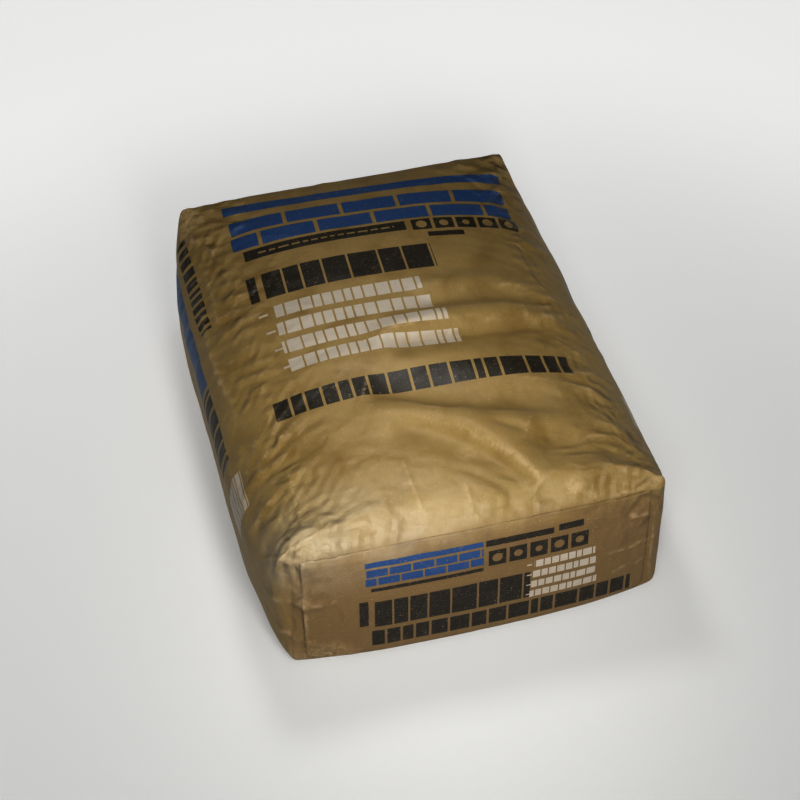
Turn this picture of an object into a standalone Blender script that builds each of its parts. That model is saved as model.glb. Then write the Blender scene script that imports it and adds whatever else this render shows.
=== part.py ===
"""A filled 25 kg cement bag: a pasted block bottom valve sack of brown kraft paper.

It lies flat on its broad side. X is its width, Y its length with the printed end at -Y, and Z is up.
The origin is on the floor, under the middle of the bag. All sizes are in metres.
"""

from functools import lru_cache
from math import copysign, dist, hypot, pi, radians, sin, sqrt

import bmesh
import bpy

MM = 0.001

# Driving dimensions of the filled sack
LENGTH = 0.436  # over both pasted ends
END_WIDTH = 0.298  # block bottom, side to side
END_HEIGHT = 0.131  # block bottom, up and down
CROWN_HEIGHT = 0.140  # from the floor to the top of the full middle
END_LIFT = 0.003  # the lower edge of each end stands clear of the floor
CORNER_LIFT = 0.002  # a lower corner is this much higher again
FRONT_RIGHT_LIFT = 0.005  # and this corner more, where a dark wedge shows under the bag
CORNER_POWERS = (5, 6)  # how closely that lift keeps to the corner, across and along
FLOOR_PRESS = 0.003  # depth of round belly that the floor flattens

# The filling leans out against a pasted end: most over its lower part, and least at its top edge
END_BULGE = 0.0085
TOP_EDGE_BULGE = 0.15  # share of the bulge that is left at the top edge
BULGE_RISE = 0.65  # share of the height, from the top, over which it grows to the whole bulge
BULGE_POWER = 2.5  # how flat it stays across the end before it drops to the corners

# Radii at which the paper bends round the powder where a pasted end meets the tube
FRONT_ROLL = 0.028
REAR_ROLL = 0.006
BOTTOM_ROLL = 0.006
CORNER_ROLL = 0.0045
FRONT_LEFT_ROLL = 0.015
FRONT_LEFT_FOOT = 0.01  # the front left corner is as tight as the others below this height
FRONT_LEFT_REACH = (0.06, 0.1, 0.06)  # it comes in over these distances sideways, lengthwise and upwards
ROLL_BLEND = 1.2  # drop, in radii of the roll, over which it passes into the upright corner
RIM_WAVER = 0.2  # share by which the front roll gets rounder and tighter along the end
RIM_WAVES = (0.022, 0.0506)  # lengths of the two waves that make it do so, each over 2 pi
RIM_PHASES = (0.8, -0.4)
CORNER_KEEP = 8  # power of the place across the bag with which a roll keeps away from the corners

# Broad waves of the paper over the powder. Each has its line on the top in X and Y, its height, and how far
# it falls away to the right and to the left as its line runs, all in millimetres. A height below 0 is a
# valley.
WAVES = (
    (((-62, -78), (-36, -86), (-7, -101), (22, -114), (51, -124), (83, -130), (106, -128)), 3.2, 42, 22),
    (((-50, -62), (-32, -70), (-1, -82), (36, -96), (73, -108), (100, -110)), -6.0, 26, 40),
    (((2, -110), (19, -126), (36, -148), (48, -170), (58, -204)), 4.4, 15, 26),
    (((-40, -104), (-12, -122), (12, -144), (31, -168), (48, -202)), -3.4, 26, 11),
    (((60, -140), (90, -156), (120, -168), (146, -184)), -5.6, 24, 26),
    (((56, -186), (89, -192), (119, -196), (142, -198)), 2.4, 16, 26),
    (((-36, -10), (-4, 0), (31, 4), (74, 4), (109, 5), (138, -8)), 5.0, 20, 20),
    (((-22, -16), (26, -14), (68, -18), (103, -15), (132, -20)), -4.4, 28, 15),
    (((10, 26), (55, 25), (89, 23), (130, 12)), -3.2, 16, 20),
    (((16, 47), (65, 46), (95, 44), (130, 28)), 2.4, 20, 16),
    (((-122, -34), (-93, -24), (-50, -18), (-3, -27), (34, -34)), 1.5, 30, 14),
)
WAVE_TAPER = 0.18  # share of a wave's line over which it rises from nothing at each end

# Paper
WALL = 0.0006  # the sack's three kraft plies as one wall
COVER_SHEET = 0.0005  # one sheet pasted over each block bottom
SLEEVE = 0.0006  # both plies of the valve sleeve, pressed flat by the filling
PASTE_GAP = 0.0004  # between one paper piece and the next
FILL_GAP = 0.0011  # between the powder and the inner ply

# How the tube changes from a crisp rectangle at its ends to a round belly in the middle
FULLNESS_POWER = 5.5
END_SQUARENESS = 22.0
TOP_SQUARENESS = 2.35
BELLY_SQUARENESS = 5.2
BULGE_FADE = 8  # power of the place along the bag with which the end's bulge fades into the tube

# Reach of the pieces on the pasted ends, as shares of the half width and half height
COVER_SIDE = 0.9  # at a cell edge of the skin, before the cells are crowded
COVER_TOP = 0.75  # this one too
COVER_BOTTOM = -0.95
SLEEVE_INNER_END = 0.34
SLEEVE_MOUTH = 0.955
SLEEVE_REACH_Z = 0.68
SLEEVE_CREASE = 0.06  # the cover sheet comes down from the sleeve over this share
SLOT_START = 0.38  # the slot that leads from the sack into the sleeve
SLOT_END = 0.58
SLOT_REACH_Z = 0.62

# Mesh cells along the width, length and height, and how much smaller they get towards the edges
CELLS = (20, 30, 8)
EDGE_CROWDING = 0.285
GIRTH_STEPS = 48  # points on each side of a section when its girth is measured
HALVINGS = 40  # steps of the search for the width that a girth gives
LINE_MARGIN = 0.03  # a cell edge nearer than this to a sheet's own edge is left out of the sheet
SHARP_FOLD = radians(35)  # a fold sharper than this is shaded as a crease

KRAFT_TOP = (0.262, 0.174, 0.059, 1.0)
KRAFT_COVER = (0.223, 0.134, 0.061, 1.0)
KRAFT_SLEEVE = (0.342, 0.231, 0.107, 1.0)
CEMENT_GREY = (0.262, 0.258, 0.244, 1.0)


def mix(first, second, share):
    """A value part of the way from the first to the second."""
    return first + (second - first) * share


def ease(share):
    """A smooth step from 0 to 1."""
    share = min(max(share, 0.0), 1.0)
    return share * share * (3 - 2 * share)


def crowded(place):
    """A place from -1 to 1, moved so that the cells get smaller towards both edges."""
    return mix(place, sin(place * pi / 2), EDGE_CROWDING)


def fullness_at(station):
    """How full the tube is: 0 at the pasted ends, 1 in the middle of the length."""
    return 1 - abs(station) ** FULLNESS_POWER


def rim_factor(across, up, fullness):
    """Brings a point of a square outline onto the section's rounded one."""
    middle = TOP_SQUARENESS if up > 0 else BELLY_SQUARENESS
    squareness = 1 / mix(1 / END_SQUARENESS, 1 / middle, fullness)
    total = abs(across) ** squareness + abs(up) ** squareness
    return total ** (-1 / squareness) if total > 0 else 1.0


def half_height_and_centre(fullness):
    """Half the height of the round section before the floor flattens it, and its middle's height."""
    top = mix(END_HEIGHT + END_LIFT, CROWN_HEIGHT, fullness)
    bottom = mix(END_LIFT, -FLOOR_PRESS, fullness)
    return (top - bottom) / 2, (top + bottom) / 2


def section_point(across, up, fullness, half_width, inset):
    """X and Z of a point of the round section, whose across and up run from -1 to 1."""
    half_height, centre = half_height_and_centre(fullness)
    reach = max(abs(across), abs(up))
    factor = rim_factor(across, up, fullness) * reach
    x = (half_width - inset) * across * factor
    z = centre + (half_height - inset) * up * factor
    return x, z


def outline_length(fullness, half_width):
    """The way round the section, measured along a polygon of its points."""
    corners = [(-1, -1), (1, -1), (1, 1), (-1, 1), (-1, -1)]
    outline = []
    for start, end in zip(corners, corners[1:]):
        for step in range(GIRTH_STEPS):
            across = mix(start[0], end[0], step / GIRTH_STEPS)
            up = mix(start[1], end[1], step / GIRTH_STEPS)
            x, z = section_point(across, up, fullness, half_width, 0.0)
            outline.append((x, max(z, 0.0)))
    neighbours = zip(outline, outline[1:] + outline[:1])
    return sum(hypot(b[0] - a[0], b[1] - a[1]) for a, b in neighbours)


GIRTH = outline_length(0.0, END_WIDTH / 2)


@lru_cache(maxsize=None)
def half_width_at(fullness):
    """Paper does not stretch, so the width is what the tube's girth leaves for this height."""
    low, high = 0.25 * END_WIDTH, END_WIDTH
    for _ in range(HALVINGS):
        middle = (low + high) / 2
        if outline_length(fullness, middle) < GIRTH:
            low = middle
        else:
            high = middle
    return (low + high) / 2


def end_bulge(across, up):
    """How far the filling pushes a place of a pasted end out past its corners."""
    depth = min(max((1 - up) / 2 / BULGE_RISE, 0.0), 1.0)
    return END_BULGE * (1 - abs(across) ** BULGE_POWER) * mix(TOP_EDGE_BULGE, 1.0, sin(depth * pi / 2))


def wave_height(x, y):
    """How far the broad waves raise or lower the top at a place."""
    x /= MM
    y /= MM
    total = 0.0
    for line, height, right_reach, left_reach in WAVES:
        stretches = list(zip(line, line[1:]))
        lengths = [dist(start, end) for start, end in stretches]
        nearest, share_along, reach = min(
            place_by_line(x, y, start, end, sum(lengths[:number]), (right_reach, left_reach))
            for number, (start, end) in enumerate(stretches)
        )
        share_along /= sum(lengths)
        taper = min(share_along, 1 - share_along) / WAVE_TAPER
        total += height * ease(1 - nearest / reach) * sin(min(max(taper, 0.0), 1.0) * pi / 2)
    return total * MM


def place_by_line(x, y, start, end, travelled, reaches):
    """Distance of a place from a straight stretch, how far along that is, and the reach on its side."""
    step_x, step_y = end[0] - start[0], end[1] - start[1]
    away_x, away_y = x - start[0], y - start[1]
    length = hypot(step_x, step_y)
    share = min(max((away_x * step_x + away_y * step_y) / length ** 2, 0.0), 1.0)
    distance = hypot(away_x - share * step_x, away_y - share * step_y)
    to_left = step_x * away_y > step_y * away_x
    return distance, travelled + share * length, reaches[to_left]


def rounded_rim(point, centre, gaps, half_width, inset):
    """A point moved in where faces meet at the ends, so that the paper bends round the powder there."""
    x, y, z = point
    side_gap, end_gap, level_gap = gaps
    sideways, lengthwise, upwards = FRONT_LEFT_REACH
    front_left = ease(-x / sideways) * ease(-y / lengthwise) * ease((z - FRONT_LEFT_FOOT) / upwards)
    corner_radius = mix(CORNER_ROLL, FRONT_LEFT_ROLL, front_left)
    short, long = [sin(x / wave + phase) for wave, phase in zip(RIM_WAVES, RIM_PHASES)]
    level_radius = FRONT_ROLL * (1 + RIM_WAVER * short * long) if y < 0 else REAR_ROLL
    level_radius = mix(level_radius, corner_radius, (abs(x) / half_width) ** CORNER_KEEP)
    if z <= centre:
        level_radius = BOTTOM_ROLL
    level_radius -= inset
    corner_radius -= inset
    end_radius = mix(level_radius, corner_radius, ease((level_gap / level_radius - 1) / ROLL_BLEND))
    side = max(1 - side_gap / corner_radius, 0.0)
    end = max(1 - end_gap / end_radius, 0.0)
    level = max(1 - level_gap / level_radius, 0.0)
    reach = sqrt(side ** 2 + end ** 2 + level ** 2)
    shift = 1 - 1 / reach if reach > 1 else 0.0
    x -= copysign(corner_radius * side * shift, x)
    y -= copysign(end_radius * end * shift, y)
    z -= copysign(level_radius * level * shift, z - centre)
    return x, y, z


def corner_lift(across, along, up):
    """How far a place is raised with the nearest lower corner."""
    lift = FRONT_RIGHT_LIFT if across > 0 and along < 0 else CORNER_LIFT
    across_power, along_power = CORNER_POWERS
    return lift * abs(across) ** across_power * max(-up, 0.0) * abs(along) ** along_power


def skin_point(across, along, up, inset=0.0):
    """A point of the sack's skin from a place on the cube from -1 to 1, moved inwards by the inset."""
    fullness = fullness_at(along)
    half_width = half_width_at(fullness)
    half_height, centre = half_height_and_centre(fullness)
    x, z = section_point(across, up, fullness, half_width, inset)
    bulge = end_bulge(x / (half_width - inset), (z - centre) / (half_height - inset))
    y = along * (LENGTH / 2 - END_BULGE - inset)
    y += copysign(bulge * abs(along) ** BULGE_FADE, along)
    height_share = max((z - centre) / half_height, 0.0)
    wave = wave_height(x * half_width / (half_width - inset), y + along * inset)
    lift = corner_lift(across, along, up) + wave * height_share ** 2
    level_gap = half_height - inset - abs(z - centre)
    gaps = (half_width - inset - abs(x), (1 - abs(along)) * LENGTH / 2, level_gap)
    x, y, z = rounded_rim((x, y, z), centre, gaps, half_width, inset)
    return x, y, max(z + lift, inset)


def cube_grid():
    """A cube from -1 to 1 whose faces are cut into the cells of the sack's skin."""
    grid = bmesh.new()
    bmesh.ops.create_cube(grid, size=2.0)
    for axis, cells in enumerate(CELLS):
        edges = []
        for edge in grid.edges:
            direction = edge.verts[1].co - edge.verts[0].co
            if abs(direction[axis]) > 1:
                edges.append(edge)
        bmesh.ops.subdivide_edges(grid, edges=edges, cuts=cells - 1, use_grid_fill=True)
    for vertex in grid.verts:
        vertex.co = [crowded(round(value, 5)) for value in vertex.co]
    return grid


def paper_material(name, colour, roughness):
    """A plain surface with the piece's colour."""
    material = bpy.data.materials.new(name)
    material.use_nodes = True
    shader = material.node_tree.nodes["Principled BSDF"]
    shader.inputs["Base Color"].default_value = colour
    shader.inputs["Roughness"].default_value = roughness
    shader.inputs["Metallic"].default_value = 0.0
    material.diffuse_color = colour
    return material


def finish_piece(name, shape, collection, material):
    """Makes a named object of the mesh, its cells cut the same way on every piece so that they match."""
    bmesh.ops.recalc_face_normals(shape, faces=shape.faces)
    bmesh.ops.triangulate(shape, faces=shape.faces, quad_method="SHORT_EDGE")
    mesh = bpy.data.meshes.new(name)
    shape.to_mesh(mesh)
    shape.free()
    mesh.shade_smooth()
    mesh.set_sharp_from_angle(angle=SHARP_FOLD)
    mesh.materials.append(material)
    piece = bpy.data.objects.new(name, mesh)
    collection.objects.link(piece)
    return piece


def thicken(piece, thickness, offset):
    """Gives an open sheet its paper thickness, inwards with offset -1 and outwards with offset 1."""
    solidify = piece.modifiers.new("paper thickness", "SOLIDIFY")
    solidify.thickness = thickness
    solidify.offset = offset
    solidify.use_even_offset = True


def in_valve_slot(place):
    """Whether a place on the cube lies on the valve slot in the rear end."""
    return place.y > 0.999 and SLOT_START < place.x < SLOT_END and abs(place.z) < SLOT_REACH_Z


def make_sack(collection):
    """The closed tube of kraft paper, open only at the valve slot in its rear end."""
    shape = cube_grid()
    slot = [face for face in shape.faces if all(in_valve_slot(corner.co) for corner in face.verts)]
    bmesh.ops.delete(shape, geom=slot, context="FACES")
    for vertex in shape.verts:
        vertex.co = skin_point(*vertex.co)
    sack = finish_piece("paper_sack", shape, collection, paper_material("kraft paper", KRAFT_TOP, 0.45))
    thicken(sack, WALL, -1)


def make_fill(collection):
    """The cement powder, which fills the sack to its inner ply."""
    shape = cube_grid()
    for vertex in shape.verts:
        vertex.co = skin_point(*vertex.co, inset=WALL + FILL_GAP)
    finish_piece("cement_fill", shape, collection, paper_material("cement powder", CEMENT_GREY, 0.95))


def end_sheet(end, columns, rows, height_over):
    """An open sheet on a pasted end, from its columns and rows and its height over the sack's paper."""
    sheet = bmesh.new()
    points = []
    for up in rows:
        row = []
        for across in columns:
            x, y, z = skin_point(across, end, up)
            row.append(sheet.verts.new((x, y + end * height_over(across, up), z)))
        points.append(row)
    for lower, upper in zip(points, points[1:]):
        for column in range(len(columns) - 1):
            corners = [lower[column], lower[column + 1], upper[column + 1], upper[column]]
            sheet.faces.new(corners if end < 0 else corners[::-1])
    return sheet


def skin_lines(axis, lowest, highest, extra=()):
    """The skin's own cell edges along an axis between two limits, with the limits and any extra lines."""
    cells = CELLS[axis]
    lines = [crowded(mix(-1.0, 1.0, step / cells)) for step in range(cells + 1)]
    lines += list(extra)
    inside = [line for line in lines if lowest + LINE_MARGIN < line < highest - LINE_MARGIN]
    return sorted([lowest, highest] + inside)


def over_sleeve(across, up):
    """Height of the rear cover sheet over the sack: it steps up where the valve sleeve lies under it."""
    side = ease((across - SLEEVE_INNER_END + SLEEVE_CREASE) / SLEEVE_CREASE)
    edge = ease((SLEEVE_REACH_Z + SLEEVE_CREASE - abs(up)) / SLEEVE_CREASE)
    return PASTE_GAP + (SLEEVE + PASTE_GAP) * side * edge


def make_end_cover(name, end, columns, rows, height_over, collection):
    """The cover sheet pasted over a block bottom."""
    shape = end_sheet(end, columns, rows, height_over)
    material = paper_material(name + " paper", KRAFT_COVER, 0.75)
    cover = finish_piece(name, shape, collection, material)
    thicken(cover, COVER_SHEET, 1)


def make_valve_sleeve(collection):
    """The flat paper sleeve of the filling valve, under the rear cover, with its mouth at the side."""
    columns = skin_lines(0, SLEEVE_INNER_END, SLEEVE_MOUTH)
    rows = skin_lines(2, -SLEEVE_REACH_Z, SLEEVE_REACH_Z)
    shape = end_sheet(1, columns, rows, lambda across, up: PASTE_GAP)
    material = paper_material("sleeve paper", KRAFT_SLEEVE, 0.6)
    sleeve = finish_piece("valve_sleeve", shape, collection, material)
    thicken(sleeve, SLEEVE, 1)


def make_end_pieces(collection):
    """Both cover sheets and the valve sleeve."""
    side, top = crowded(COVER_SIDE), crowded(COVER_TOP)
    columns = skin_lines(0, -side, side)
    rows = skin_lines(2, COVER_BOTTOM, top)
    make_end_cover("front_end_cover", -1, columns, rows, lambda across, up: PASTE_GAP, collection)
    crease_lines = [SLEEVE_INNER_END - SLEEVE_CREASE, SLEEVE_INNER_END]
    columns = skin_lines(0, -side, side, crease_lines)
    foot = SLEEVE_REACH_Z + SLEEVE_CREASE
    rows = skin_lines(2, COVER_BOTTOM, top, [-foot, -SLEEVE_REACH_Z, SLEEVE_REACH_Z, foot])
    make_end_cover("rear_end_cover", 1, columns, rows, over_sleeve, collection)
    make_valve_sleeve(collection)


def main():
    for leftover in list(bpy.data.objects):
        bpy.data.objects.remove(leftover)
    collection = bpy.data.collections.new("cement bag")
    bpy.context.scene.collection.children.link(collection)
    make_sack(collection)
    make_fill(collection)
    make_end_pieces(collection)


main()
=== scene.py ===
"""The looks of a full 25 kg cement bag that lies flat: creased kraft paper, end covers, print and stage."""

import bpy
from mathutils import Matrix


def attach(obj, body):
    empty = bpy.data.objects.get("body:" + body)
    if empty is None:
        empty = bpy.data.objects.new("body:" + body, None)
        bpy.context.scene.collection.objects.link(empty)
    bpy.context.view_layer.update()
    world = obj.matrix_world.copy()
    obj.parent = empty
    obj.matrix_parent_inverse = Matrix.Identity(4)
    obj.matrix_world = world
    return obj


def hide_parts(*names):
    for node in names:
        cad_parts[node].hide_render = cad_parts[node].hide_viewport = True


bl_info = {
    "name": "Cement Bag Looks",
    "version": (1, 0, 0),
    "blender": (4, 5, 0),
    "location": "3D View > Sidebar > Cement Bag",
    "description": "Builds the creased sack, its covers, valve sleeve and filling round the packed model",
    "category": "Object",
}

from math import cos, pi, radians, sin

import bpy
import numpy as np
from bpy.props import FloatProperty, FloatVectorProperty, IntProperty, PointerProperty
from mathutils import Matrix, Vector, noise
from mathutils.kdtree import KDTree

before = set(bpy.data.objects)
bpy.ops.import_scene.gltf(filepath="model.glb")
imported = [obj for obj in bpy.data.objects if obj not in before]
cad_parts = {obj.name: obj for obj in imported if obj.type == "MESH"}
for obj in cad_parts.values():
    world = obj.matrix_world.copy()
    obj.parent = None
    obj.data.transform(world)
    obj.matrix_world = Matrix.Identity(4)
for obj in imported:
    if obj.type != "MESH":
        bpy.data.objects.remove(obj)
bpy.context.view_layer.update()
BODY = "root"
MM = 0.001

# The bag's form, as in the solids: how its section and its ends are rounded
END_LIFT = 0.003
CORNER_LIFT = 0.002
FRONT_RIGHT_LIFT = 0.005
FLOOR_PRESS = 0.003
TOP_EDGE_BULGE = 0.15
BULGE_RISE = 0.65
BULGE_POWER = 2.5
BULGE_FADE = 8
FULLNESS_POWER = 5.5
END_SQUARENESS = 22.0
TOP_SQUARENESS = 2.35
BELLY_SQUARENESS = 5.2
GIRTH_STEPS = 48
HALVINGS = 40
FULLNESS_STEPS = 33
EDGE_CROWDING = 0.35
CORNER_LIFT_ACROSS = 5
CORNER_LIFT_ALONG = 6
DEEPEST_INWARD = -4.2 * MM

# Radii at which the paper bends round the ends
FRONT_ROLL = 28 * MM
REAR_ROLL = 6 * MM
BOTTOM_ROLL = 6 * MM
CORNER_ROLL = 4.5 * MM
FRONT_LEFT_ROLL = 15 * MM

# How sharply the rolls' radii give way to the corners' radius: across the bag, and down an end
CORNER_BLEND = 8
LEVEL_BLEND = 2.2

# Where the front left corner grows rounder: how far from the middle, and how high up
FRONT_LEFT_ACROSS = 60 * MM
FRONT_LEFT_ALONG = 100 * MM
FRONT_LEFT_FROM = 10 * MM
FRONT_LEFT_FULL = 70 * MM

# The front roll's radius wavers as two waves of uneven length meet
RIM_WAVER = 0.2
RIM_WAVE = 22 * MM
RIM_WAVE_START = 0.8
SLOW_WAVE = 2.3
SLOW_WAVE_START = 0.4

# Broad waves of the top, as in the solids. Each has its line in x and y, its height, and how far it falls
# away to its right and to its left as its line runs, all in mm. A height below 0 is a valley.
WAVES = (
    (((-62, -78), (-36, -86), (-7, -101), (22, -114), (51, -124), (83, -130), (106, -128)), 3.2, 42, 22),
    (((-50, -62), (-32, -70), (-1, -82), (36, -96), (73, -108), (100, -110)), -6.0, 26, 40),
    (((2, -110), (19, -126), (36, -148), (48, -170), (58, -204)), 4.4, 15, 26),
    (((-40, -104), (-12, -122), (12, -144), (31, -168), (48, -202)), -3.4, 26, 11),
    (((60, -140), (90, -156), (120, -168), (146, -184)), -5.6, 24, 26),
    (((56, -186), (89, -192), (119, -196), (142, -198)), 2.4, 16, 26),
    (((-36, -10), (-4, 0), (31, 4), (74, 4), (109, 5), (138, -8)), 5.0, 20, 20),
    (((-22, -16), (26, -14), (68, -18), (103, -15), (132, -20)), -4.4, 28, 15),
    (((10, 26), (55, 25), (89, 23), (130, 12)), -3.2, 16, 20),
    (((16, 47), (65, 46), (95, 44), (130, 28)), 2.4, 20, 16),
    (((-122, -34), (-93, -24), (-50, -18), (-3, -27), (34, -34)), 1.5, 30, 14),
)
WAVE_TAPER = 0.18
TINY = 1e-12
END_PLACE = 0.9999


def mix(first, second, share):
    """A value between two others."""
    return first + (second - first) * share


def step_up(value, low, high):
    """0 below low, 1 above high, and a smooth rise between."""
    share = np.clip((value - low) / (high - low), 0, 1)
    return share * share * (3 - 2 * share)


def linear(code):
    """A colour given as sRGB hex, as linear red, green and blue."""
    parts = [int(code[place:place + 2], 16) / 255 for place in (0, 2, 4)]
    return tuple(part / 12.92 if part <= 0.04045 else ((part + 0.055) / 1.055) ** 2.4 for part in parts)


def shown(colour):
    """A linear colour with full opacity, as a node's socket takes it."""
    return (*colour, 1.0)


class BagSizes(bpy.types.PropertyGroup):
    """The sizes of the bag's pieces"""

    length: FloatProperty(name="Length", description="Sack between its two end faces",
                          default=436 * MM, unit="LENGTH")
    end_width: FloatProperty(name="End Width", description="Width of a block bottom",
                             default=298 * MM, unit="LENGTH")
    end_height: FloatProperty(name="End Height", description="Height of a block bottom",
                              default=131 * MM, unit="LENGTH")
    crown: FloatProperty(name="Crown Height", description="Height of the bag's middle",
                         default=140 * MM, unit="LENGTH")
    end_bulge: FloatProperty(name="End Bulge", description="How far an end swells",
                             default=8.5 * MM, unit="LENGTH")
    paper: FloatProperty(name="Cover Paper", description="Thickness of a cover sheet",
                         default=0.4 * MM, unit="LENGTH")
    cells_across: IntProperty(name="Cells Across", description="Cells in the width of the skin", default=148)
    cells_along: IntProperty(name="Cells Along", description="Cells in the length of the skin", default=200)
    cells_up: IntProperty(name="Cells Up", description="Cells in the height of the skin", default=56)


class CreaseSettings(bpy.types.PropertyGroup):
    """How strongly the paper is creased"""

    swell: FloatProperty(name="Swell", description="Height of the broad waves",
                         default=1.2 * MM, unit="LENGTH")
    shoulder: FloatProperty(name="Shoulder Buckles", description="Height of the buckles along the long edges",
                            default=1.5 * MM, unit="LENGTH")
    rim: FloatProperty(name="Rim Buckles", description="Height of the buckles at the ends",
                       default=0.3 * MM, unit="LENGTH")
    crumple: FloatProperty(name="Crumple", description="Height of the fine crumpling",
                           default=0.22 * MM, unit="LENGTH")
    folds: FloatProperty(name="Folds", description="Share of the full height of the single folds",
                         default=1.0, subtype="FACTOR")


class PaperColours(bpy.types.PropertyGroup):
    """The colours of the papers and inks"""

    kraft: FloatVectorProperty(name="Kraft", description="Glazed sack paper", subtype="COLOR",
                               default=linear("968256"))
    kraft_dark: FloatVectorProperty(name="Kraft Shade", description="Darker fibres of the sack paper",
                                    subtype="COLOR", default=linear("846f42"))
    cover: FloatVectorProperty(name="Cover", description="Unglazed paper of the end covers", subtype="COLOR",
                               default=linear("7f6a48"))
    cover_dark: FloatVectorProperty(name="Cover Shade", description="Darker fibres of the end covers",
                                    subtype="COLOR", default=linear("6f5a3c"))
    worn: FloatVectorProperty(name="Worn", description="Scuffed paper along the crests", subtype="COLOR",
                              default=linear("b8a585"))
    # Pale colour laid on the front roll, as dust and as a painted sheen
    dust_and_sheen: FloatVectorProperty(name="Dust", description="Cement dust rubbed into the paper", subtype="COLOR",
                              default=linear("cac2b2"))
    blue: FloatVectorProperty(name="Blue Ink", description="Blue flexo ink", subtype="COLOR",
                              default=linear("25507f"))
    black: FloatVectorProperty(name="Black Ink", description="Black flexo ink", subtype="COLOR",
                               default=linear("24221e"))
    white: FloatVectorProperty(name="White Ink", description="White flexo ink", subtype="COLOR",
                               default=linear("b2aa9e"))
    cement: FloatVectorProperty(name="Cement", description="Dry cement powder", subtype="COLOR",
                                default=linear("a09e98"))


# Form of the skin

def half_height_and_centre(bag, fullness):
    """Half the height of a section, and the height of its middle."""
    top = mix(bag.end_height + END_LIFT, bag.crown, fullness)
    bottom = mix(END_LIFT, -FLOOR_PRESS, fullness)
    return (top - bottom) / 2, (top + bottom) / 2


def section_points(bag, across, up, fullness, half_width, inset=0.0):
    """Points of a section that is square at the ends and rounded in the middle."""
    half_height, centre = half_height_and_centre(bag, fullness)
    middle = np.where(up > 0, TOP_SQUARENESS, BELLY_SQUARENESS)
    squareness = 1 / mix(1 / END_SQUARENESS, 1 / middle, fullness)
    total = np.abs(across) ** squareness + np.abs(up) ** squareness
    factor = np.maximum(total, TINY) ** (-1 / squareness) * np.maximum(np.abs(across), np.abs(up))
    return (half_width - inset) * across * factor, centre + (half_height - inset) * up * factor


def square_ring():
    """Places round a square, from its bottom middle over its left side and its top."""
    steps = np.linspace(-1, 1, GIRTH_STEPS + 1)
    ones = np.ones_like(steps)
    half = steps[GIRTH_STEPS // 2:]
    across = np.concatenate([-half, -ones, steps, ones, half[::-1]])
    up = np.concatenate([-np.ones_like(half), steps, ones, -steps, -np.ones_like(half)])
    return across, up


def outline_length(bag, fullness, half_width):
    """Length of paper round a section that stands on the floor."""
    across, up = square_ring()
    x, z = section_points(bag, across, up, fullness, half_width)
    return np.hypot(np.diff(x), np.diff(np.maximum(z, 0))).sum()


def half_widths(bag):
    """Half widths at evenly spaced fullnesses, all with the same length of paper round them."""
    girth = outline_length(bag, 0.0, bag.end_width / 2)
    widths = []
    for fullness in np.linspace(0, 1, FULLNESS_STEPS):
        low = bag.end_width / 3
        high = bag.end_width
        for _ in range(HALVINGS):
            middle = (low + high) / 2
            if outline_length(bag, fullness, middle) < girth:
                low = middle
            else:
                high = middle
        widths.append(low)
    return np.array(widths)


def skin_points(bag, places, inset=0.0):
    """Points of the smooth skin at places given across, along and up, each from -1 to 1."""
    across, along, up = places.T
    fullness = 1 - np.abs(along) ** FULLNESS_POWER
    half_width = np.interp(fullness, np.linspace(0, 1, FULLNESS_STEPS), half_widths(bag))
    half_height, centre = half_height_and_centre(bag, fullness)
    x, z = section_points(bag, across, up, fullness, half_width, inset)
    sideways = np.abs(x) / (half_width - inset)
    depth = np.clip((1 - (z - centre) / (half_height - inset)) / 2 / BULGE_RISE, 0, 1)
    bulge = bag.end_bulge * (1 - sideways ** BULGE_POWER) * mix(TOP_EDGE_BULGE, 1.0, np.sin(depth * pi / 2))
    y = along * (bag.length / 2 - bag.end_bulge - inset)
    y += np.sign(along) * bulge * np.abs(along) ** BULGE_FADE
    lift = np.where((across > 0) & (along < 0), FRONT_RIGHT_LIFT, CORNER_LIFT)
    lift = lift * np.abs(across) ** CORNER_LIFT_ACROSS * np.maximum(-up, 0)
    lift = lift * np.abs(along) ** CORNER_LIFT_ALONG
    gaps = (half_width - inset - np.abs(x), (1 - np.abs(along)) * bag.length / 2,
            half_height - inset - np.abs(z - centre))
    lift += wave_heights(x, y) * np.clip((z - centre) / half_height, 0, 1) ** 2
    x, y, z = rounded_rims(x, y, z, centre, gaps, half_width, inset)
    return np.stack([x, y, np.maximum(z + lift, inset)], axis=1)


def wave_heights(x, y):
    """How far the broad waves raise or lower the top at each place."""
    total = np.zeros_like(x)
    for line, height, right_reach, left_reach in WAVES:
        nearest = np.full(x.shape, np.inf)
        reach = np.ones_like(x)
        run = np.zeros_like(x)
        line = np.array(line) * MM
        travelled = np.concatenate([[0], np.cumsum(np.linalg.norm(np.diff(line, axis=0), axis=1))])
        for start, end, before, after in zip(line, line[1:], travelled, travelled[1:]):
            step = end - start
            share = np.clip(((x - start[0]) * step[0] + (y - start[1]) * step[1]) / (step @ step), 0, 1)
            away_x = x - start[0] - share * step[0]
            away_y = y - start[1] - share * step[1]
            closer = np.hypot(away_x, away_y) < nearest
            to_left = step[0] * away_y > step[1] * away_x
            nearest = np.where(closer, np.hypot(away_x, away_y), nearest)
            reach = np.where(closer, np.where(to_left, left_reach, right_reach) * MM, reach)
            run = np.where(closer, mix(before, after, share) / travelled[-1], run)
        taper = np.clip(np.minimum(run, 1 - run) / WAVE_TAPER, 0, 1)
        fall = np.clip(1 - nearest / reach, 0, 1)
        total += height * MM * fall * fall * (3 - 2 * fall) * np.sin(taper * pi / 2)
    return total


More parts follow.
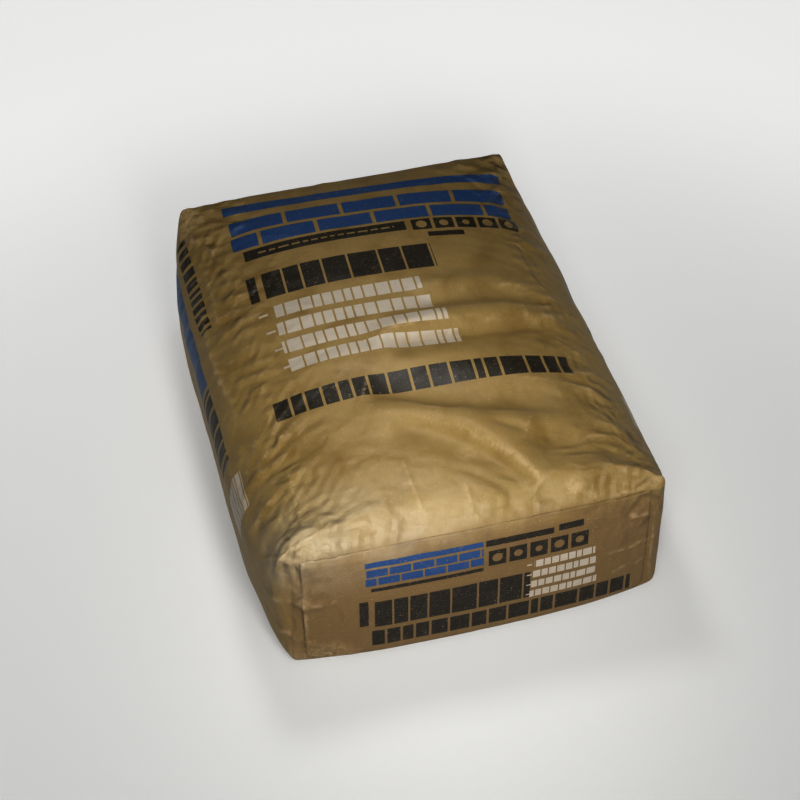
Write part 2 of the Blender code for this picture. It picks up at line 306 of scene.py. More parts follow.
def rounded_rims(x, y, z, centre, gaps, half_width, inset):
    """Points moved in where faces meet at the ends, so that the paper bends round the powder there."""
    side_gap, end_gap, level_gap = gaps
    above = z > centre
    waver = RIM_WAVER * np.sin(x / RIM_WAVE + RIM_WAVE_START)
    waver = 1 + waver * np.sin(x / RIM_WAVE / SLOW_WAVE - SLOW_WAVE_START)
    rolled = np.where(y < 0, FRONT_ROLL * waver, REAR_ROLL)
    front_left = step_up(-x, 0, FRONT_LEFT_ACROSS) * step_up(-y, 0, FRONT_LEFT_ALONG)
    front_left = front_left * step_up(z, FRONT_LEFT_FROM, FRONT_LEFT_FULL)
    corner_radius = mix(CORNER_ROLL, FRONT_LEFT_ROLL, front_left)
    top_radius = mix(rolled, corner_radius, (np.abs(x) / half_width) ** CORNER_BLEND)
    level_radius = np.maximum(np.where(above, top_radius, BOTTOM_ROLL) - inset, TINY)
    corner_radius = np.maximum(corner_radius - inset, TINY)
    to_corner = step_up(level_gap, level_radius, LEVEL_BLEND * level_radius)
    end_radius = mix(level_radius, corner_radius, to_corner)
    inside = [np.maximum(1 - gap / radius, 0) for gap, radius in
              ((side_gap, corner_radius), (end_gap, end_radius), (level_gap, level_radius))]
    reach = np.maximum(np.sqrt(sum(part ** 2 for part in inside)), TINY)
    shift = np.maximum(1 - 1 / reach, 0)
    x = x - np.sign(x) * corner_radius * inside[0] * shift
    y = y - np.sign(y) * end_radius * inside[1] * shift
    z = z - np.where(above, 1, -1) * level_radius * inside[2] * shift
    return x, y, z


def quads_of(numbers):
    """The quads between the rows and columns of a grid of vertex numbers."""
    corners = [numbers[:-1, :-1], numbers[1:, :-1], numbers[1:, 1:], numbers[:-1, 1:]]
    return np.stack(corners, axis=-1).reshape(-1, 4)


def cube_grid(cells):
    """Places on the surface of a cube cut into cells, their lattice numbers, and its outward quads."""
    on_surface = np.zeros([count + 1 for count in cells], bool)
    for axis in range(3):
        for end in (0, -1):
            np.moveaxis(on_surface, axis, 0)[end] = True
    numbers = np.full(on_surface.shape, -1)
    numbers[on_surface] = np.arange(on_surface.sum())
    places = np.argwhere(on_surface) / np.array(cells) * 2 - 1
    quads = []
    for axis in range(3):
        for end in (0, -1):
            cells_of_face = quads_of(np.take(numbers, end, axis=axis))
            quads.append(cells_of_face[:, ::-1] if (end == 0) != (axis == 1) else cells_of_face)
    crowded = mix(places, np.sin(places * pi / 2), EDGE_CROWDING)
    return crowded, numbers, np.concatenate(quads)


def vertex_normals(points, quads):
    """Unit normals of the vertices of a mesh of quads."""
    corners = points[quads]
    faces = np.cross(corners[:, 2] - corners[:, 0], corners[:, 3] - corners[:, 1])
    normals = np.zeros_like(points)
    for corner in range(4):
        np.add.at(normals, quads[:, corner], faces)
    return normals / np.linalg.norm(normals, axis=1, keepdims=True)


# Creases

def smooth_noise(points, spacing, offset=0.0):
    """Noise from -1 to 1 whose waves are spacing long, and offset picks the part of it that is read."""
    scaled = points / np.broadcast_to(spacing, 3) + offset
    return np.array([noise.noise(place) for place in scaled])


# The noises that bend the creases and break them up: lengths of their waves, and parts of the noise they read
WARP_SHIFTS = (11.3, 27.9, 43.1)
PATCH_FROM = -0.15
PATCH_FULL = 0.35
FACET_BEND_NOISE = (75 * MM, 0.6)
FACET_BEND = 0.4
FACET_PATCH = 50 * MM
FACET_PATCH_OFFSET = 10.0
FACET_SEED = 11
FACET_WAVES = 9
FACET_SPACING = (22 * MM, 60 * MM)


def warped(points, distance, spacing):
    """The points moved about by noise, which makes a drawn line wander as a fold does."""
    # Each axis reads its own part of one noise, because noise_vector gives other values in every run
    moves = np.stack([smooth_noise(points, spacing, shift) for shift in WARP_SHIFTS], axis=1)
    return points + moves * distance


def folded(phase):
    """A wave of flat slopes between sharp crests and hollows, from -1 to 1, once for each whole phase."""
    return 1 - 4 * np.abs(phase - np.round(phase))


def patches(points, spacing, offset):
    """Areas where a wave shows, from 0 to 1, with plain areas between them."""
    return step_up(smooth_noise(points, spacing, offset), PATCH_FROM, PATCH_FULL)


def facets(points):
    """Flat facets between straight creases that cross at many angles, as in paper pressed by hand."""
    chance = np.random.default_rng(FACET_SEED)
    total = np.zeros(len(points))
    bend = smooth_noise(points, *FACET_BEND_NOISE)
    for number in range(FACET_WAVES):
        heading = chance.normal(size=3)
        heading /= np.linalg.norm(heading)
        spacing = chance.uniform(*FACET_SPACING)
        phase = points @ heading / spacing + chance.uniform() + FACET_BEND * bend
        here = patches(points, FACET_PATCH, FACET_PATCH_OFFSET + number)
        total += folded(phase) * spacing / FACET_SPACING[1] * here
    return total


# Each fold: its points, its height, and how far it falls away to its right and to its left as its points
# run, seen from outside, all in mm. A height below 0 is a valley.
FOLDS = (
    # Crumpled corner at the front left
    (((-118, -145, 127), (-127, -135, 123), (-135, -133, 118), (-146, -139, 112), (-156, -145, 103),
      (-165, -144, 84)), 1.1, 7, 3),
    (((-134, -138, 120), (-145, -143, 113), (-155, -150, 105), (-163, -151, 88)), -1.3, 3, 8),
    (((-133, -146, 121), (-133, -160, 122), (-135, -169, 123), (-138, -174, 123)), 0.8, 4, 3),
    (((-118, -146, 127), (-127, -150, 124), (-129, -154, 124), (-128, -171, 126), (-128, -183, 129),
      (-132, -189, 129), (-140, -193, 127), (-148, -197, 123)), 1.3, 4, 10),
    (((-158, -170, 101), (-151, -173, 113), (-140, -178, 122)), -1.1, 7, 7),
    (((-129, -154, 124), (-115, -166, 130), (-105, -179, 133), (-96, -192, 135),
      (-95, -199, 135)), -1.0, 7, 6),
    (((-127, -177, 128), (-116, -179, 131), (-109, -190, 134), (-97, -200, 135)), 0.6, 4, 4),
    (((-89, -129, 133), (-80, -145, 135), (-71, -163, 137), (-63, -182, 137), (-60, -194, 136)), 0.8, 6, 8),
    (((-130, -58, 119), (-137, -64, 116), (-142, -71, 113), (-151, -84, 107), (-154, -92, 103),
      (-157, -103, 100)), 0.6, 4, 4),
    (((-125, -89, 122), (-133, -87, 118), (-137, -92, 116), (-144, -102, 112),
      (-148, -112, 109)), 0.6, 4, 4),
    (((-135, -114, 118), (-123, -118, 123), (-109, -118, 128)), 0.3, 3, 4),
    # Edge between the top and the front, and the front's own creases
    (((-162, -169, 90), (-152, -193, 115), (-148, -206, 127), (-144, -210, 125), (-137, -210, 125),
      (-130, -210, 121)), -1.8, 3, 5),
    (((-144, -210, 119), (-141, -210, 106), (-138, -211, 97)), -1.6, 4, 4),
    (((-162, -174, 59), (-158, -188, 65), (-151, -205, 73), (-146, -210, 74), (-141, -211, 74),
      (-136, -211, 72), (-119, -213, 70), (-107, -214, 73)), 1.9, 5, 5),
    (((-136, -211, 97), (-138, -211, 79), (-137, -211, 69), (-136, -211, 45), (-137, -211, 32),
      (-138, -211, 10)), 1.4, 3, 3),
    (((-158, -188, 33), (-151, -206, 38), (-137, -211, 31), (-127, -212, 25), (-111, -214, 16),
      (-104, -215, 12), (-89, -216, 16)), 1.6, 6, 5),
    (((101, -215, 64), (114, -214, 62), (125, -212, 62), (137, -211, 66), (147, -210, 69)), 1.3, 4, 5),
    (((107, -214, 39), (120, -213, 43), (131, -212, 43), (139, -211, 48)), 0.8, 4, 4),
    (((102, -211, 119), (114, -211, 123), (126, -210, 124), (141, -210, 125)), 1.5, 5, 4),
    (((116, -212, 96), (126, -211, 105), (133, -211, 113), (142, -210, 121)), -1.4, 5, 6),
    (((118, -212, 99), (133, -211, 96), (147, -210, 94)), 1.0, 4, 4),
    (((142, -210, 98), (142, -210, 72), (142, -210, 46), (143, -210, 10)), 1.2, 3, 3),
    # Creases across the front roll
    (((-63, -181, 137), (-60, -190, 136), (-57, -197, 136), (-54, -204, 135), (-53, -211, 131)), -1.3, 5, 5),
    (((-81, -184, 136), (-79, -194, 136), (-78, -203, 135), (-77, -209, 134)), -0.9, 4, 5),
    (((25, -189, 137), (27, -194, 136), (30, -211, 134), (35, -213, 118)), -1.0, 5, 5),
    (((-2, -175, 138), (-2, -192, 136), (-2, -209, 134), (2, -213, 120)), 0.9, 4, 4),
    (((-42, -140, 139), (-41, -165, 138), (-41, -192, 136), (-38, -211, 132)), 0.9, 5, 5),
    (((-138, -195, 128), (-140, -208, 133), (-139, -210, 127)), -0.9, 3, 4),
    (((95, -187, 135), (103, -188, 134), (113, -194, 134), (127, -203, 133), (141, -210, 132)), 1.7, 6, 9),
    (((131, -179, 127), (135, -184, 126), (138, -193, 128), (142, -203, 130)), -1.1, 5, 5),
    (((27, -175, 138), (46, -187, 137), (53, -198, 136), (63, -205, 135)), -1.6, 7, 9),
    (((-11, -165, 138), (0, -166, 138), (11, -175, 138), (25, -189, 137), (36, -199, 136)), -1.3, 8, 8),
    # Folds over the top
    (((34, -14, 139), (52, -17, 138), (73, -16, 136), (89, -16, 133), (101, -14, 130),
      (113, -13, 126)), -2.2, 11, 9),
    (((99, 7, 130), (102, 2, 129), (105, -6, 129), (114, -7, 126), (124, -7, 122), (136, -14, 117),
      (143, -16, 112)), 1.7, 5, 7),
    (((85, 36, 133), (101, 34, 130), (112, 31, 126), (124, 26, 122), (134, 19, 118),
      (145, 17, 111)), 1.8, 6, 9),
    (((100, 26, 130), (111, 25, 127), (124, 24, 122), (133, 18, 118)), 0.9, 3, 4),
    (((115, -30, 126), (121, -35, 123), (125, -41, 122), (131, -48, 119), (140, -57, 114)), 1.6, 6, 7),
    (((69, -164, 137), (81, -163, 136), (91, -163, 134), (103, -161, 132), (115, -157, 129)), 0.9, 4, 5),
    (((77, -174, 136), (91, -174, 135), (111, -173, 132), (121, -173, 129)), 0.9, 4, 5),
    (((120, -80, 124), (131, -82, 119), (139, -89, 115), (146, -97, 110)), 0.9, 5, 6),
    (((114, -135, 128), (121, -138, 125), (130, -140, 122), (140, -146, 117)), 1.1, 5, 6),
    (((98, -156, 133), (112, -152, 129), (126, -153, 125), (139, -155, 119)), 0.9, 4, 5),
    (((-37, -72, 139), (-28, -81, 140), (-16, -90, 140), (-6, -100, 140), (13, -106, 140),
      (42, -114, 139), (65, -119, 137), (81, -119, 134)), 1.4, 15, 6),
    (((-6, -100, 140), (0, -110, 140), (13, -127, 140), (26, -144, 139), (38, -159, 138), (48, -172, 138),
      (53, -184, 137)), 0.5, 10, 10),
    (((33, -127, 139), (41, -131, 139), (47, -135, 138), (51, -138, 138), (60, -148, 137)), -1.3, 6, 8),
    # Left shoulder and side
    (((-143, 153, 116), (-140, 126, 115), (-139, 94, 115), (-141, 64, 114)), 1.2, 5, 7),
    (((-151, 48, 106), (-151, 13, 106), (-150, -20, 107), (-151, -48, 106)), 1.1, 6, 6),
    (((-150, 113, 108), (-153, 78, 105), (-153, 38, 104), (-153, -7, 105)), 1.4, 7, 7),
    (((-163, -39, 91), (-164, -73, 89), (-163, -109, 91), (-162, -134, 94)), 1.2, 6, 8),
    (((-148, 184, 118), (-141, 173, 121), (-132, 158, 123), (-125, 138, 124)), 1.2, 5, 7),
    # Rear corners
    (((99, 209, 134), (105, 204, 135), (113, 195, 134), (123, 190, 132), (128, 185, 129),
      (130, 178, 127)), 1.6, 6, 9),
    (((131, 175, 126), (137, 174, 123), (145, 171, 117), (155, 171, 107)), 1.0, 4, 5),
    (((123, 117, 123), (130, 118, 120), (141, 118, 115), (148, 113, 109), (154, 112, 104)), 1.0, 4, 5),
    (((-142, 195, 127), (-136, 195, 129), (-125, 198, 133), (-106, 191, 134), (-94, 186, 135)), 1.3, 6, 8),
    (((-148, 203, 126), (-141, 193, 126), (-142, 178, 121), (-143, 167, 118)), 1.2, 5, 6),
    (((-159, 136, 99), (-154, 135, 105), (-139, 135, 116), (-126, 140, 123), (-116, 144, 127)), 1.4, 6, 7),
    (((-148, 178, 116), (-143, 174, 120), (-131, 171, 125), (-123, 169, 128)), 0.8, 4, 5),
    (((140, 205, 131), (140, 198, 129), (147, 198, 125)), -1.3, 4, 5),
    # Right shoulder
    (((66, -74, 136), (109, -88, 128), (131, -98, 119), (156, -112, 102)), 1.5, 12, 9),
    (((122, 110, 124), (140, 96, 116), (158, 84, 100)), 1.5, 7, 9),
)
WANDER = 1.6 * MM
WANDER_SPACING = 24 * MM
CREST_ROUNDING = 0.7
FOLD_SHARPNESS = 1.5
FOLD_TAPER = 0.28

# The swell: long low waves that lie a little askew to the bag, and die out towards the ends
LEAN = np.array(((1.0, 0.25, 0.0), (-0.25, 1.0, 0.0), (0.0, 0.0, 1.0)))
SWELL_NOISE = ((150 * MM, 62 * MM, 90 * MM), 3.1)
SHORT_SWELL_NOISE = ((90 * MM, 38 * MM, 60 * MM), 6.3)
SHORT_SWELL = 0.7
SWELL_FROM_RIM = 50 * MM

# The buckles across the shoulders in two spacings, and those round the rims of the ends
SLIDE_NOISE = ((70 * MM, 55 * MM, 70 * MM), 5.5)
BAND_SPACING = 29 * MM
BAND_SLIDE = 1.4
BAND_LEAN = 2.2
BAND_PATCHES = (60 * MM, 2.2)
CLOSE_BANDS = 0.6
CLOSE_BAND_SPACING = 17 * MM
CLOSE_BAND_SLIDE = 1.9
CLOSE_BAND_PATCHES = (45 * MM, 8.8)
SHOULDER_REACH = 34 * MM
BANDS_FROM_RIM = 25 * MM
RIM_SPACING = 31 * MM
RIM_SLIDE = 1.7
RIM_PATCHES = (55 * MM, 4.1)
RIM_REACH = 26 * MM
END_FACE_SHARE = 0.5

# Facets stand lowest on the tight middle and highest at the corners, and the paper lies flat on the floor
MIDDLE_FACETS = 0.7
CORNER_FACETS = 2.2
CORNER_REACH = 45 * MM
RESTING_HEIGHT = 14 * MM

# Height above its neighbours at which a place starts to be worn, and at which it is fully worn
WORN_FROM = 0.06 * MM
WORN_FULL = 0.24 * MM

# How crumpled each part of the paper is, and how far from a rim or a corner that reaches
LEAST_CRUMPLED = 0.05
SHOULDER_CRUMPLED = 0.5
CORNER_CRUMPLED = 0.9
CORNER_CRUMPLED_REACH = 55 * MM
END_FACE_CRUMPLED = 0.12
RIM_CRUMPLED = 0.15
RIM_CRUMPLED_REACH = 30 * MM


def from_edges(bag, places):
    """How far each place lies from the long top edges, and how far from its end, in metres."""
    across, along, _ = np.abs(places).T
    shoulder = (1 - across) * bag.end_width / 2 + (1 - places[:, 2]) * bag.end_height / 2
    return shoulder, (1 - along) * bag.length / 2


def fold_relief(points, normals, skin, fold):
    """Height that one fold gives each point, from a crest that falls away on both sides."""
    route, height, right_reach, left_reach = fold
    knots = [skin.find(Vector(place) * MM) for place in route]
    nearest = np.full(len(points), np.inf)
    signed = np.zeros(len(points))
    run = np.zeros(len(points))
    lengths = [(after[0] - before[0]).length for before, after in zip(knots, knots[1:])]
    travelled = np.concatenate([[0], np.cumsum(lengths)])
    for number, (before, after) in enumerate(zip(knots, knots[1:])):
        start = np.array(before[0])
        reach = np.array(after[0]) - start
        share = np.clip((points - start) @ reach / (reach @ reach), 0, 1)
        away = points - start - share[:, None] * reach
        distance = np.linalg.norm(away, axis=1)
        closer = distance < nearest
        right = np.cross(reach, normals)
        nearest[closer] = distance[closer]
        signed[closer] = (np.einsum("ij,ij->i", away, right)[closer] > 0) * 2 - 1
        run[closer] = (travelled[number] + share[closer] * lengths[number]) / travelled[-1]
    rounded = np.hypot(nearest / MM, CREST_ROUNDING) - CREST_ROUNDING
    fall = np.clip(1 - rounded / np.where(signed > 0, right_reach, left_reach), 0, 1) ** FOLD_SHARPNESS
    taper = np.clip(np.minimum(run, 1 - run) / FOLD_TAPER, 0, 1)
    return height * MM * fall * np.sin(taper * pi / 2)


def sack_relief(bag, creases, points, normals, places):
    """How far each point of the smooth skin stands out or in once the paper is creased."""
    across, along, up = np.abs(places).T
    shoulder, rim = from_edges(bag, places)
    rim += np.minimum((1 - across) * bag.end_width / 2, (1 - up) * bag.end_height / 2)
    corner = np.exp(-(np.maximum(shoulder, 0) + rim) / CORNER_REACH)
    end_face = along > END_PLACE
    wandering = warped(points, WANDER, WANDER_SPACING)
    leaning = points @ LEAN
    swell = smooth_noise(leaning, *SWELL_NOISE)
    swell += SHORT_SWELL * smooth_noise(leaning, *SHORT_SWELL_NOISE)
    relief = creases.swell * swell * step_up(rim, 0, SWELL_FROM_RIM) * np.where(end_face, 0.0, 1.0)
    slide = smooth_noise(points, *SLIDE_NOISE)
    phase = points[:, 1] / BAND_SPACING + BAND_SLIDE * slide + BAND_LEAN * points[:, 0]
    bands = folded(phase) * patches(points, *BAND_PATCHES)
    phase = points[:, 1] / CLOSE_BAND_SPACING - CLOSE_BAND_SLIDE * slide
    bands += CLOSE_BANDS * folded(phase) * patches(points, *CLOSE_BAND_PATCHES)
    relief += creases.shoulder * bands * np.exp(-shoulder / SHOULDER_REACH) * step_up(rim, 0, BANDS_FROM_RIM)
    pleats = folded(points[:, 0] / RIM_SPACING + RIM_SLIDE * slide) * patches(points, *RIM_PATCHES)
    relief += creases.rim * pleats * np.exp(-rim / RIM_REACH) * np.where(end_face, END_FACE_SHARE, 1.0)
    relief += creases.crumple * facets(points) * (MIDDLE_FACETS + CORNER_FACETS * corner)
    skin = KDTree(len(points))
    for number, point in enumerate(points):
        skin.insert(point, number)
    skin.balance()
    for fold in FOLDS:
        relief += creases.folds * fold_relief(wandering, normals, skin, fold)
    return np.maximum(relief * step_up(points[:, 2], 0, RESTING_HEIGHT), DEEPEST_INWARD)


def crest_and_hollow(points, normals, quads):
    """How far each point stands above its neighbours, as two values from 0 to 1, for wear and for painted
    shade in the hollows.
    """
    total = np.zeros_like(points)
    count = np.zeros(len(points))
    for first, second in ((0, 1), (1, 2), (2, 3), (3, 0)):
        np.add.at(total, quads[:, first], points[quads[:, second]])
        np.add.at(count, quads[:, first], 1)
    stands = np.einsum("ij,ij->i", points - total / count[:, None], normals)
    return step_up(stands, WORN_FROM, WORN_FULL), step_up(-stands, WORN_FROM, WORN_FULL)


def crumpled_places(bag, places):
    """How much each place has been crumpled, from hardly at all on the tight middle to 1 at the corners."""
    shoulder, rim = from_edges(bag, places)
    edges = np.exp(-np.maximum(shoulder, 0) / SHOULDER_REACH) * SHOULDER_CRUMPLED
    corners = CORNER_CRUMPLED * np.exp(-(shoulder + rim) / CORNER_CRUMPLED_REACH)
    rims = RIM_CRUMPLED * np.exp(-rim / RIM_CRUMPLED_REACH)
    ends = np.where(np.abs(places[:, 1]) > END_PLACE, END_FACE_CRUMPLED, rims)
    return np.clip(LEAST_CRUMPLED + np.maximum(edges, ends) + corners, 0, 1)


# Meshes

def paper_coordinates(bag, points, numbers, quads, ends):
    """For each corner of each quad its place on the flat paper in metres: across the girth, and along.

    On the ends it is the place across and up.
    """
    half = numbers.shape[0] // 2
    bottom = numbers[:, :, 0]
    left = numbers[0]
    top = numbers[:, :, -1]
    right = numbers[-1]
    ring = np.concatenate([bottom[half::-1], left.T[1:], top[1:], right.T[-2::-1], bottom[-2:half - 1:-1]])
    steps = np.linalg.norm(np.diff(points[ring][:, :, [0, 2]], axis=0), axis=2)
    run = np.concatenate([np.zeros((1, ring.shape[1])), np.cumsum(steps, axis=0)])
    top_middle = len(bottom[half::-1]) - 1 + numbers.shape[2] - 1 + half
    run -= run[top_middle]
    place = np.zeros((len(points), 2))
    place[ring[:-1], 0] = run[:-1]
    place[ring[:-1], 1] = points[ring[:-1]][:, :, 1]
    corners = place[quads]
    # A quad that straddles the seam under the bag keeps its corners side by side
    wide = np.ptp(corners[:, :, 0], axis=1) > bag.end_width
    corners[wide, :, 0] += np.where(corners[wide, :, 0] < 0, -2 * run[0].mean(), 0)
    # The ends lie one metre farther on, clear of the print on the tube
    facing = points[quads[ends]]
    corners[ends] = facing[:, :, [0, 2]] + [0, 1]
    return corners.reshape(-1, 2)


def make_mesh(name, points, quads, coordinates=None, marks=None):
    """An object of quads, smooth shaded, with its paper coordinates and its wear marks."""
    mesh = bpy.data.meshes.new(name)
    mesh.from_pydata(points.tolist(), [], quads.tolist())
    mesh.shade_smooth()
    if coordinates is not None:
        mesh.uv_layers.new(name="Paper").data.foreach_set("uv", coordinates.astype(np.float32).ravel())
    for label, values in (marks or {}).items():
        mark = mesh.attributes.new(label, "FLOAT", "POINT")
        mark.data.foreach_set("value", values.astype(np.float32))
    if mesh.validate():
        raise RuntimeError(f"{name} has faces that share corners wrongly")
    piece = bpy.data.objects.new(name, mesh)
    bpy.context.scene.collection.objects.link(piece)
    return piece


def stand_for(piece, node, material):
    """Fits a piece in place of a solid of the model and gives it its finish."""
    piece.data.materials.append(material)
    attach(piece, BODY)
    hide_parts(node)


class Sack:
    """The creased skin that the sack and the sheets on its ends share."""

    def __init__(self, bag, creases):
        cells = (bag.cells_across, bag.cells_along, bag.cells_up)
        self.places, self.numbers, self.quads = cube_grid(cells)
        smooth = skin_points(bag, self.places)
        smooth_normals = vertex_normals(smooth, self.quads)
        relief = sack_relief(bag, creases, smooth, smooth_normals, self.places)
        self.points = smooth + smooth_normals * relief[:, None]
        self.points[:, 2] = np.maximum(self.points[:, 2], 0)
        self.normals = vertex_normals(self.points, self.quads)
        ends = (np.abs(self.places[self.quads][:, :, 1]) > END_PLACE).all(axis=1)
        self.coordinates = paper_coordinates(bag, smooth, self.numbers, self.quads, ends)
        self.crest, self.hollow = crest_and_hollow(self.points, self.normals, self.quads)
        self.crumple = crumpled_places(bag, self.places)


_skins = {}


def creased_sack(scene):
    """The creased skin, worked out once for a run."""
    if "sack" not in _skins:
        _skins["sack"] = Sack(scene.bag_sizes, scene.bag_creases)
    return _skins["sack"]


# Nodes

MATHS = "ShaderNodeMath"
VECTORS = "ShaderNodeVectorMath"
RANGE = "ShaderNodeMapRange"
SMOOTH = "SMOOTHSTEP"
MIX = "ShaderNodeMix"
BUMP = "ShaderNodeBump"

# Numbers of the Mix node's sockets for colours
MIX_A = 6
MIX_B = 7
MIX_RESULT = 2


def add_node(tree, kind, inputs=(), output=0, **settings):
    """Adds a node with its settings, sets or links its inputs, and gives back one of its outputs."""
    node = tree.nodes.new(kind)
    for label, value in settings.items():
        setattr(node, label, value)
    for label, value in inputs.items() if isinstance(inputs, dict) else enumerate(inputs):
        if isinstance(value, bpy.types.NodeSocket):
            tree.links.new(value, node.inputs[label])
        else:
            node.inputs[label].default_value = value
    return node.outputs[output]


def grain(tree, vector, spacing, detail=3.0, roughness=0.55):
    """A noise whose features are one spacing apart, in metres, or one for each axis."""
    sizes = tuple(1 / size for size in np.broadcast_to(spacing, 3))
    scaled = add_node(tree, VECTORS, (vector, sizes), operation="MULTIPLY")
    inputs = {"Vector": scaled, "Scale": 1.0, "Detail": detail, "Roughness": roughness}
    return add_node(tree, "ShaderNodeTexNoise", inputs, "Fac")


# Creases too fine for the mesh, one crease and the next 8 to 30 mm apart, and pleats that run across the bag.
# A real crest is about 0.1 mm wide and is drawn 0.45 mm wide on each side so that it shows.
CREASE_SEED = 5
CREASE_WAVES = 7
CREASE_SPACING = (8 * MM, 30 * MM)
CREASE_BEND = 45 * MM
CREASE_PATCH = 34 * MM
CREASE_PATCH_RANGE = (0.48, 0.6)
CREASE_SHIFT = 0.3
PLEAT_WAVES = 2
PLEAT_SPACING = (9 * MM, 15 * MM)
PLEAT_LEAN = 0.4
PLEAT_TILT = 0.6
CREASE_SLOPE = 0.105

# A wave's value at its crest, before its height in metres, and how wide and how worn the crest is
CREST = 0.5
CREST_WIDTH = 0.45 * MM
CREST_WEAR = 0.35


def fine_creases(tree, solid, zone):
    """Height in metres of straight creases that cross at many angles, and the mask of their worn crests."""
    chance = np.random.default_rng(CREASE_SEED)
    bend = grain(tree, solid, CREASE_BEND, detail=2.0)
    height = 0.0
    worn = 0.0
    for number in range(CREASE_WAVES + PLEAT_WAVES):
        if number < CREASE_WAVES:
            heading = Vector(chance.normal(size=3)).normalized()
            spacing = chance.uniform(*CREASE_SPACING)
        else:
            lean = chance.uniform(-PLEAT_LEAN, PLEAT_LEAN)
            tilt = chance.uniform(-PLEAT_TILT, PLEAT_TILT)
            heading = Vector((lean, 1, tilt)).normalized()
            spacing = chance.uniform(*PLEAT_SPACING)
        run = add_node(tree, VECTORS, (solid, heading / spacing), "Value", operation="DOT_PRODUCT")
        run = add_node(tree, MATHS, (bend, run))
        wave = add_node(tree, MATHS, (run, CREST), operation="PINGPONG")
        moved = add_node(tree, VECTORS, (solid, (CREASE_SHIFT * number, 0.1, 0.2)))
        patch = (grain(tree, moved, CREASE_PATCH, detail=1.0), *CREASE_PATCH_RANGE)
        patch = add_node(tree, RANGE, patch, interpolation_type=SMOOTH)
        patch = add_node(tree, MATHS, (patch, zone), operation="MULTIPLY")
        rise = add_node(tree, MATHS, (wave, patch), operation="MULTIPLY")
        height = add_node(tree, MATHS, (rise, 2 * spacing * CREASE_SLOPE, height), operation="MULTIPLY_ADD")
        crest = (wave, CREST - CREST_WIDTH / spacing, CREST)
        crest = add_node(tree, RANGE, crest, interpolation_type=SMOOTH)
        crest = add_node(tree, MATHS, (crest, patch), operation="MULTIPLY")
        crest = add_node(tree, MATHS, (crest, CREST_WEAR), operation="MULTIPLY")
        worn = add_node(tree, MATHS, (worn, crest), operation="MAXIMUM")
    return height, worn


# Where the paper is scuffed pale: places and radii in mm, and how strongly
SCUFFS = (
    ((-150, -202, 4), 26, 0.6),
    ((-120, -214, 2), 30, 0.55),
    ((-146, 196, 126), 22, 0.5),
    ((142, 206, 130), 12, 0.4),
    ((78, -203, 134), 12, 0.55),
    ((92, -210, 126), 9, 0.5),
    ((8, -150, 139), 12, 0.45),
    ((144, -209, 126), 12, 0.5),
    ((-137, -212, 74), 9, 0.5),
)
SCUFF_MIDDLE = 0.3
SCUFF_GRAIN = 4 * MM
SCUFF_RANGE = (0.36, 0.62)


def scuffed(tree, solid):
    """The mask of the scuffed places, broken up as rubbed paper is."""
    total = 0.0
    for place, radius, strength in SCUFFS:
        away = add_node(tree, VECTORS, (solid, Vector(place) * MM), "Value", operation="DISTANCE")
        reach = (away, SCUFF_MIDDLE * radius * MM, radius * MM, strength, 0.0)
        spot = add_node(tree, RANGE, reach, interpolation_type=SMOOTH)
        total = add_node(tree, MATHS, (total, spot), operation="MAXIMUM")
    rubbed = (grain(tree, solid, SCUFF_GRAIN, detail=5.0, roughness=0.7), *SCUFF_RANGE)
    rubbed = add_node(tree, RANGE, rubbed, interpolation_type=SMOOTH)
    return add_node(tree, MATHS, (total, rubbed), operation="MULTIPLY")


# Print

# Plain blocks of ink, sizes in mm. On the tube, places are measured from the middle of the top, across the
# paper and along it. On an end they are measured from its middle line and from the floor.
TOP_TURN = radians(2.6)
END_TURN = radians(0.5)
SQUARES = 5
HOLE_STEP = 0.15
BLOCK_SHIFT = 0.31


def oblong(tree, place, centre, size):
    """The mask of an upright oblong on the paper, its centre and size in mm."""
    scale = (2 / (size[0] * MM), 2 / (size[1] * MM), 0)
    shift = (-centre[0] * MM * scale[0], -centre[1] * MM * scale[1], 0)
    local = add_node(tree, VECTORS, (place, scale, shift), operation="MULTIPLY_ADD")
    across, up = (add_node(tree, "ShaderNodeSeparateXYZ", (local,), axis) for axis in (0, 1))
    half = [add_node(tree, MATHS, (axis,), operation="ABSOLUTE") for axis in (across, up)]
    farthest = add_node(tree, MATHS, half, operation="MAXIMUM")
    return add_node(tree, MATHS, (farthest, 1.0), operation="LESS_THAN")


def disc(tree, place, centre, radius):
    """The mask of a round spot on the paper, its centre and radius in mm."""
    middle = (centre[0] * MM, centre[1] * MM, 0)
    away = add_node(tree, VECTORS, (place, middle), "Value", operation="DISTANCE")
    return add_node(tree, MATHS, (away, radius * MM), operation="LESS_THAN")


def blocks(tree, place, spacing, gap, axis=0, shift=0.0):
    """The mask that breaks a bar into blocks of uneven length, spacing and gap in mm."""
    run = add_node(tree, "ShaderNodeSeparateXYZ", (place,), axis)
    run = add_node(tree, MATHS, (run, 1 / (spacing * MM), shift), operation="MULTIPLY_ADD")
    edge = add_node(tree, "ShaderNodeTexVoronoi", {"W": run, "Scale": 1.0, "Randomness": 1.0}, "Distance",
                    voronoi_dimensions="1D", feature="DISTANCE_TO_EDGE")
    return add_node(tree, MATHS, (edge, gap / spacing / 2), operation="GREATER_THAN")


def brick_course(tree, place, origin, brick, joint):
    """The mask of bricks laid in running bond, sizes in mm."""
    local = add_node(tree, VECTORS, (place, (origin[0] * MM, origin[1] * MM, 0)), operation="SUBTRACT")
    inputs = {"Vector": local, "Scale": 1.0, "Mortar Size": joint * MM / 2, "Mortar Smooth": 0.0,
              "Brick Width": brick[0] * MM, "Row Height": brick[1] * MM}
    mortar = add_node(tree, "ShaderNodeTexBrick", inputs, "Fac", offset=0.5, squash=1.0)
    return add_node(tree, MATHS, (1.0, mortar), operation="SUBTRACT")


